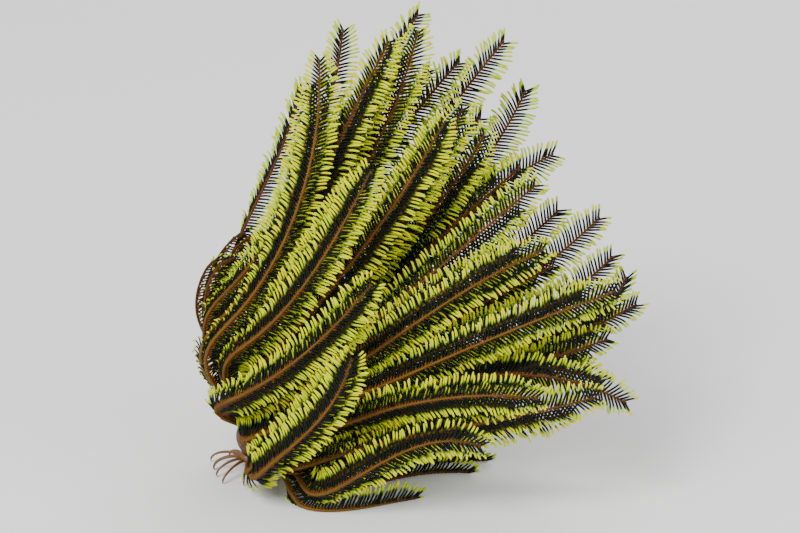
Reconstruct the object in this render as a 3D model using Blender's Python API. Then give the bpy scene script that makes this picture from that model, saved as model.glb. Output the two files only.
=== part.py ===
"""A bushy feather star in its feeding pose: a small crown that grips the floor with hooked
cirri, and forty-seven feathered arms that arch up and away to one side of it.

The arms are posed in a viewing plane (right, up, away from the viewer) that looks down on
the floor by VIEW_DOWN, with the crown at its middle, and are then turned upright into the
model frame, +Z up, with the floor at zero. Sizes are in millimetres until a mesh is made.
"""

import math
from typing import NamedTuple

import bmesh
import bpy
import numpy as np

METRES = 0.001
VIEW_DOWN = math.radians(22.0)
GAP = 0.3
SEED = 11

CROWN_HEIGHT = 15.0
CROWN_RADIUS = 11.0
CROWN_LEAN = math.radians(22.0)
SOCKETS_FROM_MOUTH = math.radians(38.0)
SOCKET_SPACING = 2.9
SPREAD_ROUNDS = 600
SPREAD_PULLED_ROUNDS = 500
SPREAD_PUSH = 0.5
SPREAD_PULL = 0.006
MOUTH_PUSH = 1.6

CALYX_VALLEYS = 8.8
CALYX_TOP = 8.2
CALYX_FOOT = 8.4
CALYX_SEAT_RADIUS = 4.3
SEAT_MARGIN = math.radians(6.0)
SEAT_SIDES = 12
VALLEY_COUNT = 110
VALLEY_CLEARANCE = math.radians(13.0)
DISC_RADIUS = 4.1
DISC_HEIGHT = 2.4
DISC_RIM = 0.4
DISC_FOOT_SHARE = 0.94
DISC_ARCH = (0.0, 25.0, 50.0, 75.0)
VENT_RADIUS = 1.0
VENT_HEIGHT = 2.6
VENT_SINK = 1.0
VENT_TOP_SHARE = 0.6
KNOB_RADIUS = 4.2
KNOB_DEPTH = 3.4
KNOB_PROFILE = ((0.55, 1.0), (0.9, 0.8), (1.0, 0.4), (0.9, 0.0))
KNOB_SIDES = 15

CIRRUS_COUNT = 13
CIRRUS_RADIUS = 0.75
CIRRUS_REACH = 15.0
CIRRUS_ARCH = 3.2
CIRRUS_SAMPLES = 5
CIRRUS_TAPER = 0.45
CIRRUS_ROOT_DEPTH = 0.62
CIRRUS_ROOT_OUT = 1.6
CIRRUS_HOOK_OUT = 2.2
CIRRUS_SINK = 0.2
CIRRUS_CLEARANCE = 1.3
CIRRUS_SWINGS = (0.0, 0.12, -0.12, 0.24, -0.24)
CIRRUS_SHARES = (1.0, 0.85, 0.7)

ROOT_HALF_WIDTH = 1.05
TIP_HALF_WIDTH = 0.4
BACK_HEIGHT = 0.9
BELLY_DEPTH = 0.7
FLAT_BACK_SHARE = 0.6
ARM_SAMPLES = 30
FINE_SAMPLES = 150
FLOOR_CLEARANCE = 3.5
REST_HEIGHT = 0.6

BUNDLE_DEPTH = 26.0
BUNDLE_REACH_SHARE = 0.9
BUNDLE_FULL_REACH = 40.0
DEPTH_BOW = 0.3
BOW_MIDDLE_DEPTH = -24.0
BOW_DEPTH_RANGE = 30.0
INNER_HANDLES = (0.5, 0.42)
OUTER_HANDLES = (0.3, 0.36)
BEND_SMOOTHINGS = 4
BACK_SMOOTHINGS = 60

EASE_ROUNDS = 150
EASE_REACH = 13.0
EASE_SHARES = (0.066, 0.066, 0.22)
RETURN_SHARES = (0.05, 0.05, 0.002)
ROOM_AT_ROOT = 2.6
ROOM_GAINED = 6.8
ROOM_GROWS_FROM = 6.0
ROOM_GROWS_OVER = 34.0
LOOSE_FROM = 10.0
LIFT_SHARE = 0.5
LAID_FROM = 30.0
LAY_SHARE = 0.3

BARE_LENGTH = 14.0
RING_SPACING = 5.0
ROOT_PAIR_SPACING = 8.8
TIP_PAIR_SPACING = 6.0
LEAST_PAIR_SPACING = 2.6
MOST_TURN = math.radians(34.0)
STAGGER = 1.4
LAST_PAIR_FROM_TIP = 2.4
PINNULE_LENGTH = 11.5
PINNULE_HALF_BASE = 0.48
PINNULE_LEAN = math.radians(42.0)
PINNULE_TIP_LEAN = math.radians(14.0)
PINNULE_FOLD = math.radians(36.0)
PINNULE_BOW = 0.075
PINNULE_CLEARANCES = (1.1, 0.75)
PINNULE_RADII = (0.7, 0.4)
PINNULE_SHARES = (1.0, 0.8, 0.6, 0.42)
FOLD_TRIES = (0.0, 0.25, -0.25, 0.5, 0.75, -0.5)
LEAN_TRIES = (0.0, 0.3, 0.55)
LENGTH_DRAW = 0.08
LEAN_DRAW = 0.08
PINNULE_ROOT_BELOW = 0.3
PINNULE_OFF_FLOOR = 0.5
STEM_CLEARANCE_SHARE = 1.35


def on_floor(right, up):
    """A place of the viewing plane with its depth chosen so that it lies on the floor."""
    depth = (CROWN_HEIGHT - REST_HEIGHT + up * math.cos(VIEW_DOWN)) / math.sin(VIEW_DOWN)
    return right, up, depth


class ArmPose(NamedTuple):
    """Where one arm bends and ends, as (right, up, away), and the angles it heads at there."""

    bend: tuple
    leaves: float
    tip: tuple
    points: float
    rests: bool = False


ARM_POSES = (
    ArmPose((-19.6, 44.0, -12), 120, (-8.0, 71.2, -26), -4),
    ArmPose((-13.5, 66.0, 4), 68, (17.8, 138.0, -22), 76),
    ArmPose((-10.8, 73.0, -6), 55, (3.6, 80.4, -14), -25),
    ArmPose((-16.6, 53.6, -22), 38, (20.4, 123.0, -40), 84),
    ArmPose((-17.6, 39.2, -32), 36, (25.2, 149.0, -52), 94),
    ArmPose((-3.0, 60.0, 4), 66, (34.4, 161.5, -36), 86),
    ArmPose((-9.6, 33.2, -38), 27, (45.6, 105.0, -76), 64),
    ArmPose((-2.4, 24.8, -24), 44, (74.0, 124.0, -60), 62),
    ArmPose((10.0, 24.0, -12), 42, (81.8, 130.0, -40), 62),
    ArmPose((-14.4, 13.4, -40), 19, (45.8, 61.0, -86), 52),
    ArmPose((0.0, -15.4, -40), 46, (38.2, 32.6, -90), 78),
    ArmPose((2.0, 62.0, 2), 62, (20.0, 112.0, -20), 74),
    ArmPose((-1.2, 9.2, -32), 14, (112.8, 74.2, -62), 22),
    ArmPose((6.0, 14.4, -22), 34, (110.0, 99.6, -46), 40),
    ArmPose((-5.6, -1.2, -34), 18, (141.2, 58.0, -55), 18),
    ArmPose((12.0, -3.6, -30), 26, (110.4, 16.6, -76), -8),
    ArmPose((18.0, 4.4, -18), 23, (145.8, 14.2, -48), -31),
    ArmPose((14.0, -14.0, -30), 26, (133.6, 16.8, -60), 15),
    ArmPose((28.8, -21.2, -44), 26, (88.6, -2.2, -62), -24),
    ArmPose(on_floor(27.0, -24.6), 30, on_floor(85.2, -14.6), -14, True),
    ArmPose(on_floor(25.6, -28.8), -12, on_floor(63.4, -24.0), 8, True),
    ArmPose((4.0, 50.0, -4), 64, (35.8, 129.5, -34), 76),
    ArmPose((20.0, 10.0, -10), 34, (117.4, 68.2, -32), 27),
    ArmPose((16.0, 15.0, 2), 34, (136.0, 87.4, -24), 47),
    ArmPose((19.0, 8.0, 2), 27, (141.2, 71.8, -18), 48),
    ArmPose((20.0, 3.0, 8), 20, (147.2, 63.8, -8), 70),
    ArmPose((19.0, 2.0, -8), 18, (150.4, 53.0, -30), 30),
    ArmPose((19.0, -3.0, -16), 16, (138.6, 39.2, -42), 18),
    ArmPose((12.0, 20.0, -8), 42, (104.2, 107.0, -36), 40),
    ArmPose((14.0, 18.0, 6), 42, (118.0, 112.8, -12), 26),
    ArmPose((12.0, 26.0, 12), 48, (107.2, 138.2, -6), 66),
    ArmPose((10.0, 28.0, -4), 50, (90.0, 119.4, -40), 62),
    ArmPose((10.0, 32.0, 8), 56, (98.2, 157.4, -18), 50),
    ArmPose((6.0, 36.0, 4), 58, (80.6, 149.2, -26), 46),
    ArmPose((12.0, 24.0, 14), 50, (89.0, 127.4, -10), 48),
    ArmPose((4.0, 40.0, 10), 66, (64.2, 168.0, -18), 52),
    ArmPose((2.0, 44.0, -6), 58, (63.8, 160.0, -46), 78),
    ArmPose((-2.0, 46.0, -12), 60, (52.6, 156.0, -56), 62),
    ArmPose((8.0, 36.0, 16), 60, (68.2, 146.0, 2), 56),
    ArmPose((16.0, 12.0, 8), 36, (120.2, 90.4, -10), 44),
    ArmPose((4.0, 30.0, 26), 62, (46.0, 122.0, 20), 66),
    ArmPose((12.0, 20.0, 30), 45, (84.0, 98.0, 30), 46),
    ArmPose((16.0, 8.0, 32), 30, (112.0, 62.0, 34), 28),
    ArmPose(on_floor(20.0, -3.0), 6, on_floor(112.0, 5.0), 8, True),
    ArmPose(on_floor(12.0, 3.0), 10, on_floor(78.0, 12.5), 12, True),
    ArmPose((4.0, 16.0, 34), 50, (44.0, 74.0, 54), 52),
    ArmPose(on_floor(24.0, -12.0), 2, on_floor(92.0, -10.0), 2, True),
)


def unit(vector):
    vector = np.asarray(vector, float)
    return vector / np.linalg.norm(vector)


def upright(points):
    """Turns ways of the viewing plane into the model frame."""
    points = np.asarray(points, float)
    down, level = math.sin(VIEW_DOWN), math.cos(VIEW_DOWN)
    right, up, away = points[..., 0], points[..., 1], points[..., 2]
    return np.stack([right, up * down + away * level, up * level - away * down], -1)


def seen(way):
    """The reverse of upright."""
    x, y, z = way
    down, level = math.sin(VIEW_DOWN), math.cos(VIEW_DOWN)
    return np.array([x, y * down + z * level, y * level - z * down])


CROWN = np.array([0.0, 0.0, CROWN_HEIGHT])
MOUTH_WAY = np.array([math.sin(CROWN_LEAN), 0.0, math.cos(CROWN_LEAN)])
BUNDLE_WAY = unit((0.62, 0.66, 0.0))


def bezier(ends, handles, share):
    start, stop = (np.asarray(end, float) for end in ends)
    first, second = (np.asarray(handle, float) for handle in handles)
    share = share[:, None]
    left = 1 - share
    return (left**3 * start + 3 * left**2 * share * first
            + 3 * left * share**2 * second + share**3 * stop)


def arc_length(points):
    return np.concatenate([[0.0], np.cumsum(np.linalg.norm(np.diff(points, axis=0), axis=1))])


def evened(points, count):
    """The same line with its points at even steps."""
    run = arc_length(points)
    where = np.linspace(0, run[-1], count)
    return np.stack([np.interp(where, run, points[:, axis]) for axis in range(3)], 1)


def spread_sockets():
    """A way out of the crown for each arm, towards its bend, clear of the mouth and of the others."""
    wanted = np.stack([unit(pose.bend) for pose in ARM_POSES])
    ways = wanted.copy()
    apart = SOCKET_SPACING / CROWN_RADIUS
    mouth = seen(MOUTH_WAY)
    for turn in range(SPREAD_ROUNDS):
        gap = ways[:, None] - ways[None]
        distance = np.linalg.norm(gap, axis=2) + 9 * np.eye(len(ways))
        close = np.clip(apart - distance, 0, None)
        ways = ways + SPREAD_PUSH * (gap / distance[..., None] * close[..., None]).sum(1)
        ways += (SPREAD_PULL if turn < SPREAD_PULLED_ROUNDS else 0.0) * (wanted - ways)
        excess = np.clip(ways @ mouth - math.cos(SOCKETS_FROM_MOUTH), 0, None)
        ways -= MOUTH_PUSH * excess[:, None] * mouth
        ways /= np.linalg.norm(ways, axis=1)[:, None]
    return ways


def planned_arm(pose, way):
    """One arm's line: out of its socket to the bend, and on to the tip, bowed away from the fan's middle."""
    bend, tip = np.array(pose.bend, float), np.array(pose.tip, float)
    root = way * (CROWN_RADIUS + GAP)
    chord = np.linalg.norm(tip - bend)
    reach = np.linalg.norm(bend - root)
    slope = (tip[2] - bend[2]) / np.linalg.norm((tip - bend)[:2])
    bow = 0.0 if pose.rests else DEPTH_BOW * float(
        np.clip((tip[2] - BOW_MIDDLE_DEPTH) / BOW_DEPTH_RANGE, -1, 1))

    def heading(degrees, steepness):
        angle = math.radians(degrees)
        return unit([math.cos(angle), math.sin(angle), steepness])

    leaving, landing = heading(pose.leaves, slope + bow), heading(pose.points, slope - bow)
    share = np.linspace(0, 1, 40)
    inner = bezier((root, bend), (root + way * reach * INNER_HANDLES[0],
                                  bend - leaving * reach * INNER_HANDLES[1]), share)
    outer = bezier((bend, tip), (bend + leaving * chord * OUTER_HANDLES[0],
                                 tip - landing * chord * OUTER_HANDLES[1]), share)
    line = evened(np.vstack([inner, outer[1:]]), ARM_SAMPLES)
    for _ in range(BEND_SMOOTHINGS):
        line[1:-1] = 0.25 * (line[:-2] + line[2:]) + 0.5 * line[1:-1]
    return evened(line, ARM_SAMPLES)


def close_pairs(points, owner, within):
    distance = np.linalg.norm(points[:, None] - points[None], axis=2)
    return np.nonzero((distance < within) & (owner[:, None] < owner[None]))


def settled(arms):
    """The arms eased apart, mostly in depth, until their feathers have room, and kept off the floor."""
    line = np.stack(arms)
    count, samples, _ = line.shape
    lengths = np.array([arc_length(arm)[-1] for arm in arms])
    along = np.linspace(0, 1, samples)[None] * lengths[:, None]
    room = ROOM_AT_ROOT + ROOM_GAINED * np.clip((along - ROOM_GROWS_FROM) / ROOM_GROWS_OVER, 0, 1)
    room = room.reshape(-1)
    owner = np.repeat(np.arange(count), samples)
    loose = np.clip(along / LOOSE_FROM, 0, 1)[..., None]
    rests = np.array([pose.rests for pose in ARM_POSES])
    lowest = np.where(rests, REST_HEIGHT, FLOOR_CLEARANCE)
    planned = line.copy()
    for turn in range(EASE_ROUNDS):
        flat = line.reshape(-1, 3)
        if turn % 10 == 0:
            first, second = close_pairs(flat, owner, EASE_REACH)
        gap = flat[first] - flat[second]
        distance = np.linalg.norm(gap, axis=1) + 1e-6
        short = np.clip(0.5 * (room[first] + room[second]) - distance, 0, None)
        push = gap * (short / distance)[:, None]
        move = np.zeros_like(flat)
        np.add.at(move, first, push)
        np.add.at(move, second, -push)
        move = move.reshape(line.shape) * EASE_SHARES * loose
        for _ in range(3):
            move[:, 1:-1] = 0.25 * (move[:, :-2] + move[:, 2:]) + 0.5 * move[:, 1:-1]
        back = (planned - line) * RETURN_SHARES * (along / lengths[:, None])[..., None]
        line = line + move + back
        height = CROWN_HEIGHT + upright(line)[..., 2]
        laid = rests[:, None] * np.clip(along / LAID_FROM - 1, 0, 1)
        lift = np.clip(lowest[:, None] - height, 0, None) * loose[..., 0] * LIFT_SHARE
        lift -= np.clip(height - REST_HEIGHT, 0, None) * laid * LAY_SHARE
        line[..., 1] += lift * math.cos(VIEW_DOWN)
        line[..., 2] -= lift * math.sin(VIEW_DOWN)
    return line


def rounded(points, count):
    """A smooth line through the points, by Catmull and Rom's rule, at even steps."""
    padded = np.vstack([2 * points[0] - points[1], points, 2 * points[-1] - points[-2]])
    share = np.linspace(0, 1, 8, endpoint=False)[:, None]
    pieces = []
    for before, start, stop, after in zip(padded, padded[1:], padded[2:], padded[3:]):
        pieces.append(0.5 * (2 * start + (stop - before) * share
                             + (2 * before - 5 * start + 4 * stop - after) * share**2
                             + (3 * start - before - 3 * stop + after) * share**3))
    return evened(np.vstack([*pieces, points[-1:]]), count)


class Course:
    """One arm's centre line in the model frame, with the ways along it, off its back and sideways."""

    def __init__(self, line, way, rests):
        self.rests = rests
        fine = rounded(line, FINE_SAMPLES)
        along = np.gradient(fine, axis=0)
        along[0] = way
        along /= np.linalg.norm(along, axis=1)[:, None]
        reach = np.linalg.norm(fine, axis=1)[:, None]
        middle = BUNDLE_WAY * reach * BUNDLE_REACH_SHARE
        middle = middle + np.array([0, 0, BUNDLE_DEPTH]) * np.clip(reach / BUNDLE_FULL_REACH, 0, 1)
        back = fine - middle
        back -= (back * along).sum(1)[:, None] * along
        back /= np.linalg.norm(back, axis=1)[:, None]
        for _ in range(BACK_SMOOTHINGS):
            back[1:-1] = 0.25 * (back[:-2] + back[2:]) + 0.5 * back[1:-1]
            back -= (back * along).sum(1)[:, None] * along
            back /= np.linalg.norm(back, axis=1)[:, None]
        self.points = CROWN + upright(fine)
        self.along = upright(along)
        self.back = upright(back)
        self.side = np.cross(self.along, self.back)
        self.run = arc_length(self.points)
        self.length = self.run[-1]

    def at(self, where):
        """Point, way along, way off the back and way sideways at a length along the arm."""
        def read(values):
            return np.array([np.interp(where, self.run, values[:, axis]) for axis in range(3)])

        return read(self.points), unit(read(self.along)), unit(read(self.back)), unit(read(self.side))

    def half_width(self, where):
        share = min(max(where / self.length, 0.0), 1.0)
        return ROOT_HALF_WIDTH + (TIP_HALF_WIDTH - ROOT_HALF_WIDTH) * share**1.3

    def edge(self, where, side):
        """A corner of the section at the foot of a row of pinnules: side is -1 or 1."""
        point, _, back, sideways = self.at(where)
        half = self.half_width(where)
        return above_floor(point + (side * sideways - back * BELLY_DEPTH) * half)

    def keel(self, where, side=0):
        """The corner of the section on its back, or one of two where the back is flat."""
        point, _, back, sideways = self.at(where)
        half = self.half_width(where)
        return above_floor(point + (side * sideways * FLAT_BACK_SHARE + back * BACK_HEIGHT) * half)

    def root_face(self):
        """The corners of the flat face at the arm's root, in turn."""
        keels = [self.keel(0.0, side) for side in ((-1, 1) if self.rests else (0,))]
        return [*keels, self.edge(0.0, 1), self.edge(0.0, -1)]


def above_floor(spot):
    return np.array([spot[0], spot[1], max(spot[2], 0.0)])


def segment_gaps(start, stop, starts, stops):
    """Distances from one straight stretch to many."""
    way, ways = stop - start, stops - starts
    between = start - starts
    a, e = way @ way, (ways * ways).sum(1)
    b, c, f = ways @ way, between @ way, (ways * between).sum(1)
    bottom = np.maximum(a * e - b * b, 1e-9)
    here = np.clip((b * f - c * e) / bottom, 0, 1)
    there = np.clip((b * here + f) / e, 0, 1)
    here = np.clip((b * there - c) / a, 0, 1)
    nearest = start + here[:, None] * way
    return np.linalg.norm(nearest - (starts + there[:, None] * ways), axis=1)


class Room:
    """What already fills the space about the crown, as straight stretches with a radius and an owner."""

    NEAR = 18.0
    STRETCHES = 34

    def __init__(self, courses):
        self.starts, self.stops = np.empty((0, 3)), np.empty((0, 3))
        self.owners, self.radii = np.empty(0, int), np.empty(0)
        for index, course in enumerate(courses):
            spots = np.linspace(0, course.length, self.STRETCHES)
            points = [course.at(spot)[0] for spot in spots]
            for spot, start, stop in zip(spots[1:], points, points[1:]):
                self.keep(index, start, stop, STEM_CLEARANCE_SHARE * course.half_width(spot))

    def keep(self, owner, start, stop, radius):
        self.starts = np.vstack([self.starts, start])
        self.stops = np.vstack([self.stops, stop])
        self.owners = np.append(self.owners, owner)
        self.radii = np.append(self.radii, radius)

    def clear(self, owner, line, margins, floor):
        """Whether a line of points stays above a height and clear of every other owner's stretches."""
        for start, stop, margin in zip(line, line[1:], margins):
            if min(start[2], stop[2]) < floor:
                return False
            middle = 0.5 * (start + stop)
            near = (self.owners != owner) & (np.abs(self.starts - middle).max(1) < self.NEAR)
            if near.any():
                gaps = segment_gaps(start, stop, self.starts[near], self.stops[near])
                if (gaps < self.radii[near] + margin).any():
                    return False
        return True


def pair_spacing(share):
    """Step between pairs of pinnules at a share of the arm: wider in the crowd near the crown."""
    return ROOT_PAIR_SPACING + (TIP_PAIR_SPACING - ROOT_PAIR_SPACING) * share


def pinnule_places(course):
    """Lengths along the arm where pairs of pinnules grow, closer where the arm bends."""
    places = [BARE_LENGTH]
    while True:
        here = course.at(places[-1])[1]
        step = pair_spacing(places[-1] / course.length)
        while step > LEAST_PAIR_SPACING:
            turn = math.acos(float(np.clip(here @ course.at(places[-1] + step)[1], -1, 1)))
            if turn < MOST_TURN:
                break
            step *= 0.8
        if places[-1] + step > course.length - LAST_PAIR_FROM_TIP:
            return places
        places.append(places[-1] + step)


def pinnule_reach(share):
    """Length of a pinnule at a share of the arm: shorter near the crown and at the tip."""
    return PINNULE_LENGTH * min(1.0, 0.5 + 2.4 * share) * min(1.0, 0.45 + 2.6 * (1 - share))


class Pinnule(NamedTuple):
    """One pinnule of an arm: the length along the arm of its root, its elbow and its tip."""

    where: float
    elbow: np.ndarray
    tip: np.ndarray


def settled_pinnule(room, index, course, side, where, draw):
    """A pinnule folded, leant or shortened until it is clear of its neighbours, or none where it can't be."""
    point, along, back, sideways = course.at(where)
    base = point + (side * sideways - back * PINNULE_ROOT_BELOW) * course.half_width(where)
    share_along = where / course.length
    length = pinnule_reach(share_along) * draw.uniform(1 - LENGTH_DRAW, 1 + LENGTH_DRAW)
    lean = PINNULE_LEAN + PINNULE_TIP_LEAN * share_along**6 + draw.uniform(-LEAN_DRAW, LEAN_DRAW)
    for share in PINNULE_SHARES:
        for fold in FOLD_TRIES:
            for more in LEAN_TRIES:
                angle, tilt = PINNULE_FOLD + fold, lean + more
                out = side * sideways * math.cos(angle) - back * math.sin(angle)
                way = out * math.cos(tilt) + along * math.sin(tilt)
                bulge = out * math.sin(tilt) - along * math.cos(tilt)
                tip = base + way * length * share
                elbow = base + (way * 0.5 + bulge * PINNULE_BOW) * length * share
                if room.clear(index, (base, elbow, tip), PINNULE_CLEARANCES, PINNULE_OFF_FLOOR):
                    room.keep(index, base, elbow, PINNULE_RADII[0])
                    room.keep(index, elbow, tip, PINNULE_RADII[1])
                    return Pinnule(where, elbow, tip)
    return None


def pinnule_pairs(room, index, course, draw):
    """For each place along the arm: the place and the pinnules at its two sides."""
    pairs = []
    for place in pinnule_places(course):
        pairs.append((place, {
            side: settled_pinnule(room, index, course, side, place + side * STAGGER, draw)
            for side in (-1, 1)}))
    return pairs


def cirri(room, draw):
    """Lines of the hooks that grip the floor, out from the knob and down, between the arms."""
    knob = CROWN - MOUTH_WAY * (CALYX_FOOT + GAP + CIRRUS_ROOT_DEPTH * KNOB_DEPTH)
    found = []
    for number in range(CIRRUS_COUNT):
        for swing in CIRRUS_SWINGS:
            angle = 2 * math.pi * (number + 0.5) / CIRRUS_COUNT + swing
            level = np.array([math.cos(angle), math.sin(angle), 0.0])
            out = unit(level - MOUTH_WAY * (level @ MOUTH_WAY))
            reach = CIRRUS_REACH * draw.uniform(0.85, 1.1)
            for share in CIRRUS_SHARES:
                start = knob + out * CIRRUS_ROOT_OUT
                end = np.array([*(knob + level * reach * share)[:2], -CIRRUS_SINK])
                arch = start + out * reach * share * 0.5
                hook = end + level * CIRRUS_HOOK_OUT + np.array([0, 0, CIRRUS_ARCH])
                line = bezier((start, end), (arch, hook), np.linspace(0, 1, CIRRUS_SAMPLES + 1))
                if room.clear(-1, line[1:], [CIRRUS_CLEARANCE] * CIRRUS_SAMPLES, -1.0):
                    break
            else:
                continue
            break
        else:
            continue
        for near, far in zip(line, line[1:]):
            room.keep(-1, near, far, CIRRUS_RADIUS)
        found.append(line)
    return found


def material(name, colour, roughness):
    made = bpy.data.materials.new(name)
    made.use_nodes = True
    shader = made.node_tree.nodes["Principled BSDF"]
    shader.inputs["Base Color"].default_value = (*colour, 1.0)
    shader.inputs["Roughness"].default_value = roughness
    shader.inputs["Metallic"].default_value = 0.0
    return made


def mesh_object(name, points, faces, finishes, origin):
    """An object at its origin from points in millimetres of the model frame."""
    mesh = bpy.data.meshes.new(name)
    local = (np.asarray(points, float) - origin) * METRES
    mesh.from_pydata([tuple(map(float, point)) for point in local], [], faces)
    shape = bmesh.new()
    shape.from_mesh(mesh)
    bmesh.ops.triangulate(shape, faces=shape.faces)
    bmesh.ops.recalc_face_normals(shape, faces=shape.faces)
    shape.to_mesh(mesh)
    shape.free()
    for finish in finishes:
        mesh.materials.append(finish)
    made = bpy.data.objects.new(name, mesh)
    made.location = [float(value) * METRES for value in origin]
    bpy.context.collection.objects.link(made)
    return made


def skin_between(rings):
    """Faces of a closed tube over rings of equal count, numbered one after another, with flat ends."""
    sides = len(rings[0])
    faces = []
    for number in range(len(rings) - 1):
        low, high = number * sides, (number + 1) * sides
        for side in range(sides):
            after = (side + 1) % sides
            faces.append((low + side, low + after, high + after, high + side))
    faces.append(tuple(reversed(range(sides))))
    faces.append(tuple(range((len(rings) - 1) * sides, len(rings) * sides)))
    return faces


def square_to(way):
    """Two ways square to one and to each other."""
    across = unit(np.cross(way, (0.0, 1.0, 0.0) if abs(way[1]) < 0.9 else (1.0, 0.0, 0.0)))
    return across, np.cross(way, across)


def turned(name, profile, sides, finish):
    """A piece turned about the crown's axis from (radius, height) pairs, its ends flat."""
    across, other = square_to(MOUTH_WAY)
    rings = []
    for radius, height in profile:
        turns = [2 * math.pi * side / sides for side in range(sides)]
        rings.append([CROWN + MOUTH_WAY * height + radius * (across * math.cos(turn) + other * math.sin(turn))
                      for turn in turns])
    return mesh_object(name, np.concatenate(rings), skin_between(rings), [finish], CROWN)


def fused(body, pieces):
    """The body with the pieces joined into it as one closed surface, and the pieces removed."""
    group = bpy.data.collections.new(body.name + "_pieces")
    for piece in pieces:
        group.objects.link(piece)
    joint = body.modifiers.new("union", "BOOLEAN")
    joint.operation = "UNION"
    joint.operand_type = "COLLECTION"
    joint.collection = group
    joint.solver = "MANIFOLD"
    bpy.context.view_layer.update()
    whole = bpy.data.meshes.new_from_object(body.evaluated_get(bpy.context.evaluated_depsgraph_get()))
    body.modifiers.remove(joint)
    body.data = whole
    for piece in pieces:
        bpy.data.objects.remove(piece)
    bpy.data.collections.remove(group)
    keep_largest_surface(whole)
    return body


def keep_largest_surface(mesh):
    shape = bmesh.new()
    shape.from_mesh(mesh)
    left, surfaces = set(shape.faces), []
    while left:
        surface, edge = set(), [left.pop()]
        while edge:
            face = edge.pop()
            surface.add(face)
            for neighbour in (other for side in face.edges for other in side.link_faces):
                if neighbour in left:
                    left.remove(neighbour)
                    edge.append(neighbour)
        surfaces.append(surface)
    surfaces.sort(key=lambda surface: sum(face.calc_area() for face in surface))
    scraps = [face for surface in surfaces[:-1] for face in surface]
    bmesh.ops.delete(shape, geom=scraps, context="FACES")
    bmesh.ops.triangulate(shape, faces=shape.faces)
    shape.to_mesh(mesh)
    shape.free()


def strip(first, second):
    """Triangles between two lines of (length along, corner) that run side by side."""
    faces = []
    here = there = 0
    while here + 1 < len(first) or there + 1 < len(second):
        ahead = there + 1 == len(second)
        if ahead or (here + 1 < len(first) and first[here + 1][0] <= second[there + 1][0]):
            faces.append((first[here][1], first[here + 1][1], second[there][1]))
            here += 1
        else:
            faces.append((first[here][1], second[there + 1][1], second[there][1]))
            there += 1
    return [face for face in faces if len(set(face)) == 3]


def arm(name, course, pairs, finish):
    """One arm: a keeled, tapering stem with its pinnules drawn out of small faces on its two sides."""
    points, faces = [], []

    def added(spot):
        points.append(spot)
        return len(points) - 1

    keels, edges = {-1: [], 1: []}, {-1: [], 1: []}

    def add_keel(place):
        if course.rests:
            for side in (-1, 1):
                keels[side].append((place, added(course.keel(place, side))))
        else:
            corner = added(course.keel(place))
            for side in (-1, 1):
                keels[side].append((place, corner))

    def add_edge(place, side):
        edges[side].append((place, added(course.edge(place, side))))

    for place in np.arange(0.0, BARE_LENGTH - 1.0, RING_SPACING):
        add_keel(place)
        for side in (-1, 1):
            add_edge(place, side)
    reached = {side: (0, 0) for side in (-1, 1)}
    for place, pair in pairs:
        add_keel(place)
        for side, pinnule in pair.items():
            if pinnule is None:
                add_edge(place, side)
                continue
            from_keel, from_edge = reached[side]
            add_edge(pinnule.where - PINNULE_HALF_BASE, side)
            faces += strip(keels[side][from_keel:], edges[side][from_edge:])
            reached[side] = (len(keels[side]) - 1, len(edges[side]))
            add_edge(pinnule.where + PINNULE_HALF_BASE, side)
            upper, first, last = keels[side][-1][1], edges[side][-2][1], edges[side][-1][1]
            elbow, tip = added(pinnule.elbow), added(pinnule.tip)
            faces += [(upper, tip, elbow), (upper, elbow, first), (first, elbow, last),
                      (elbow, tip, last), (last, tip, upper)]
    end = added(above_floor(course.points[-1]))
    for side in (-1, 1):
        keels[side].append((course.length, end))
        edges[side].append((course.length, end))
        from_keel, from_edge = reached[side]
        faces += strip(keels[side][from_keel:], edges[side][from_edge:])
    faces += strip(edges[-1], edges[1])
    if course.rests:
        faces += strip(keels[1], keels[-1])
    root = [keels[-1][0][1], keels[1][0][1], edges[1][0][1], edges[-1][0][1]]
    faces.append(tuple(dict.fromkeys(root)))
    return mesh_object(name, points, faces, [finish], course.points[0])


def calyx(courses, finish):
    """The cup: flat seats above and below, and a flat-topped boss under each arm with valleys between."""
    ends = [course.points[0] - course.along[0] * GAP - CROWN for course in courses]
    points = [corner - course.along[0] * GAP - CROWN for course in courses for corner in course.root_face()]
    across, other = square_to(MOUTH_WAY)
    for height in (CALYX_TOP, -CALYX_FOOT):
        for turn in np.linspace(0, 2 * math.pi, SEAT_SIDES, endpoint=False):
            points.append(MOUTH_WAY * height
                          + CALYX_SEAT_RADIUS * (across * math.cos(turn) + other * math.sin(turn)))
    taken = [unit(end) for end in ends]
    seat = math.atan(CALYX_SEAT_RADIUS / CALYX_TOP) + SEAT_MARGIN
    for number in range(VALLEY_COUNT):
        height = 1 - (2 * number + 1) / VALLEY_COUNT
        turn = number * math.pi * (3 - math.sqrt(5))
        way = np.array([math.cos(turn), math.sin(turn), 0.0]) * math.sqrt(1 - height**2)
        way[2] = height
        nearest = math.acos(min(1.0, max(way @ other_way for other_way in taken)))
        from_pole = math.acos(min(1.0, abs(way @ MOUTH_WAY)))
        if nearest > VALLEY_CLEARANCE and from_pole > seat:
            points.append(way * CALYX_VALLEYS)
    return mesh_object("calyx", CROWN + np.array(points), wrapped(points), [finish], CROWN)


def wrapped(points):
    """Triangles that wrap points about a middle at zero, each point seen once from there."""
    shape = bmesh.new()
    numbers = shape.verts.layers.int.new("number")
    for number, point in enumerate(points):
        shape.verts.new(unit(point) * 10.0)[numbers] = number
    bmesh.ops.convex_hull(shape, input=shape.verts)
    faces = [tuple(corner[numbers] for corner in face.verts) for face in shape.faces]
    shape.free()
    return faces


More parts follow.
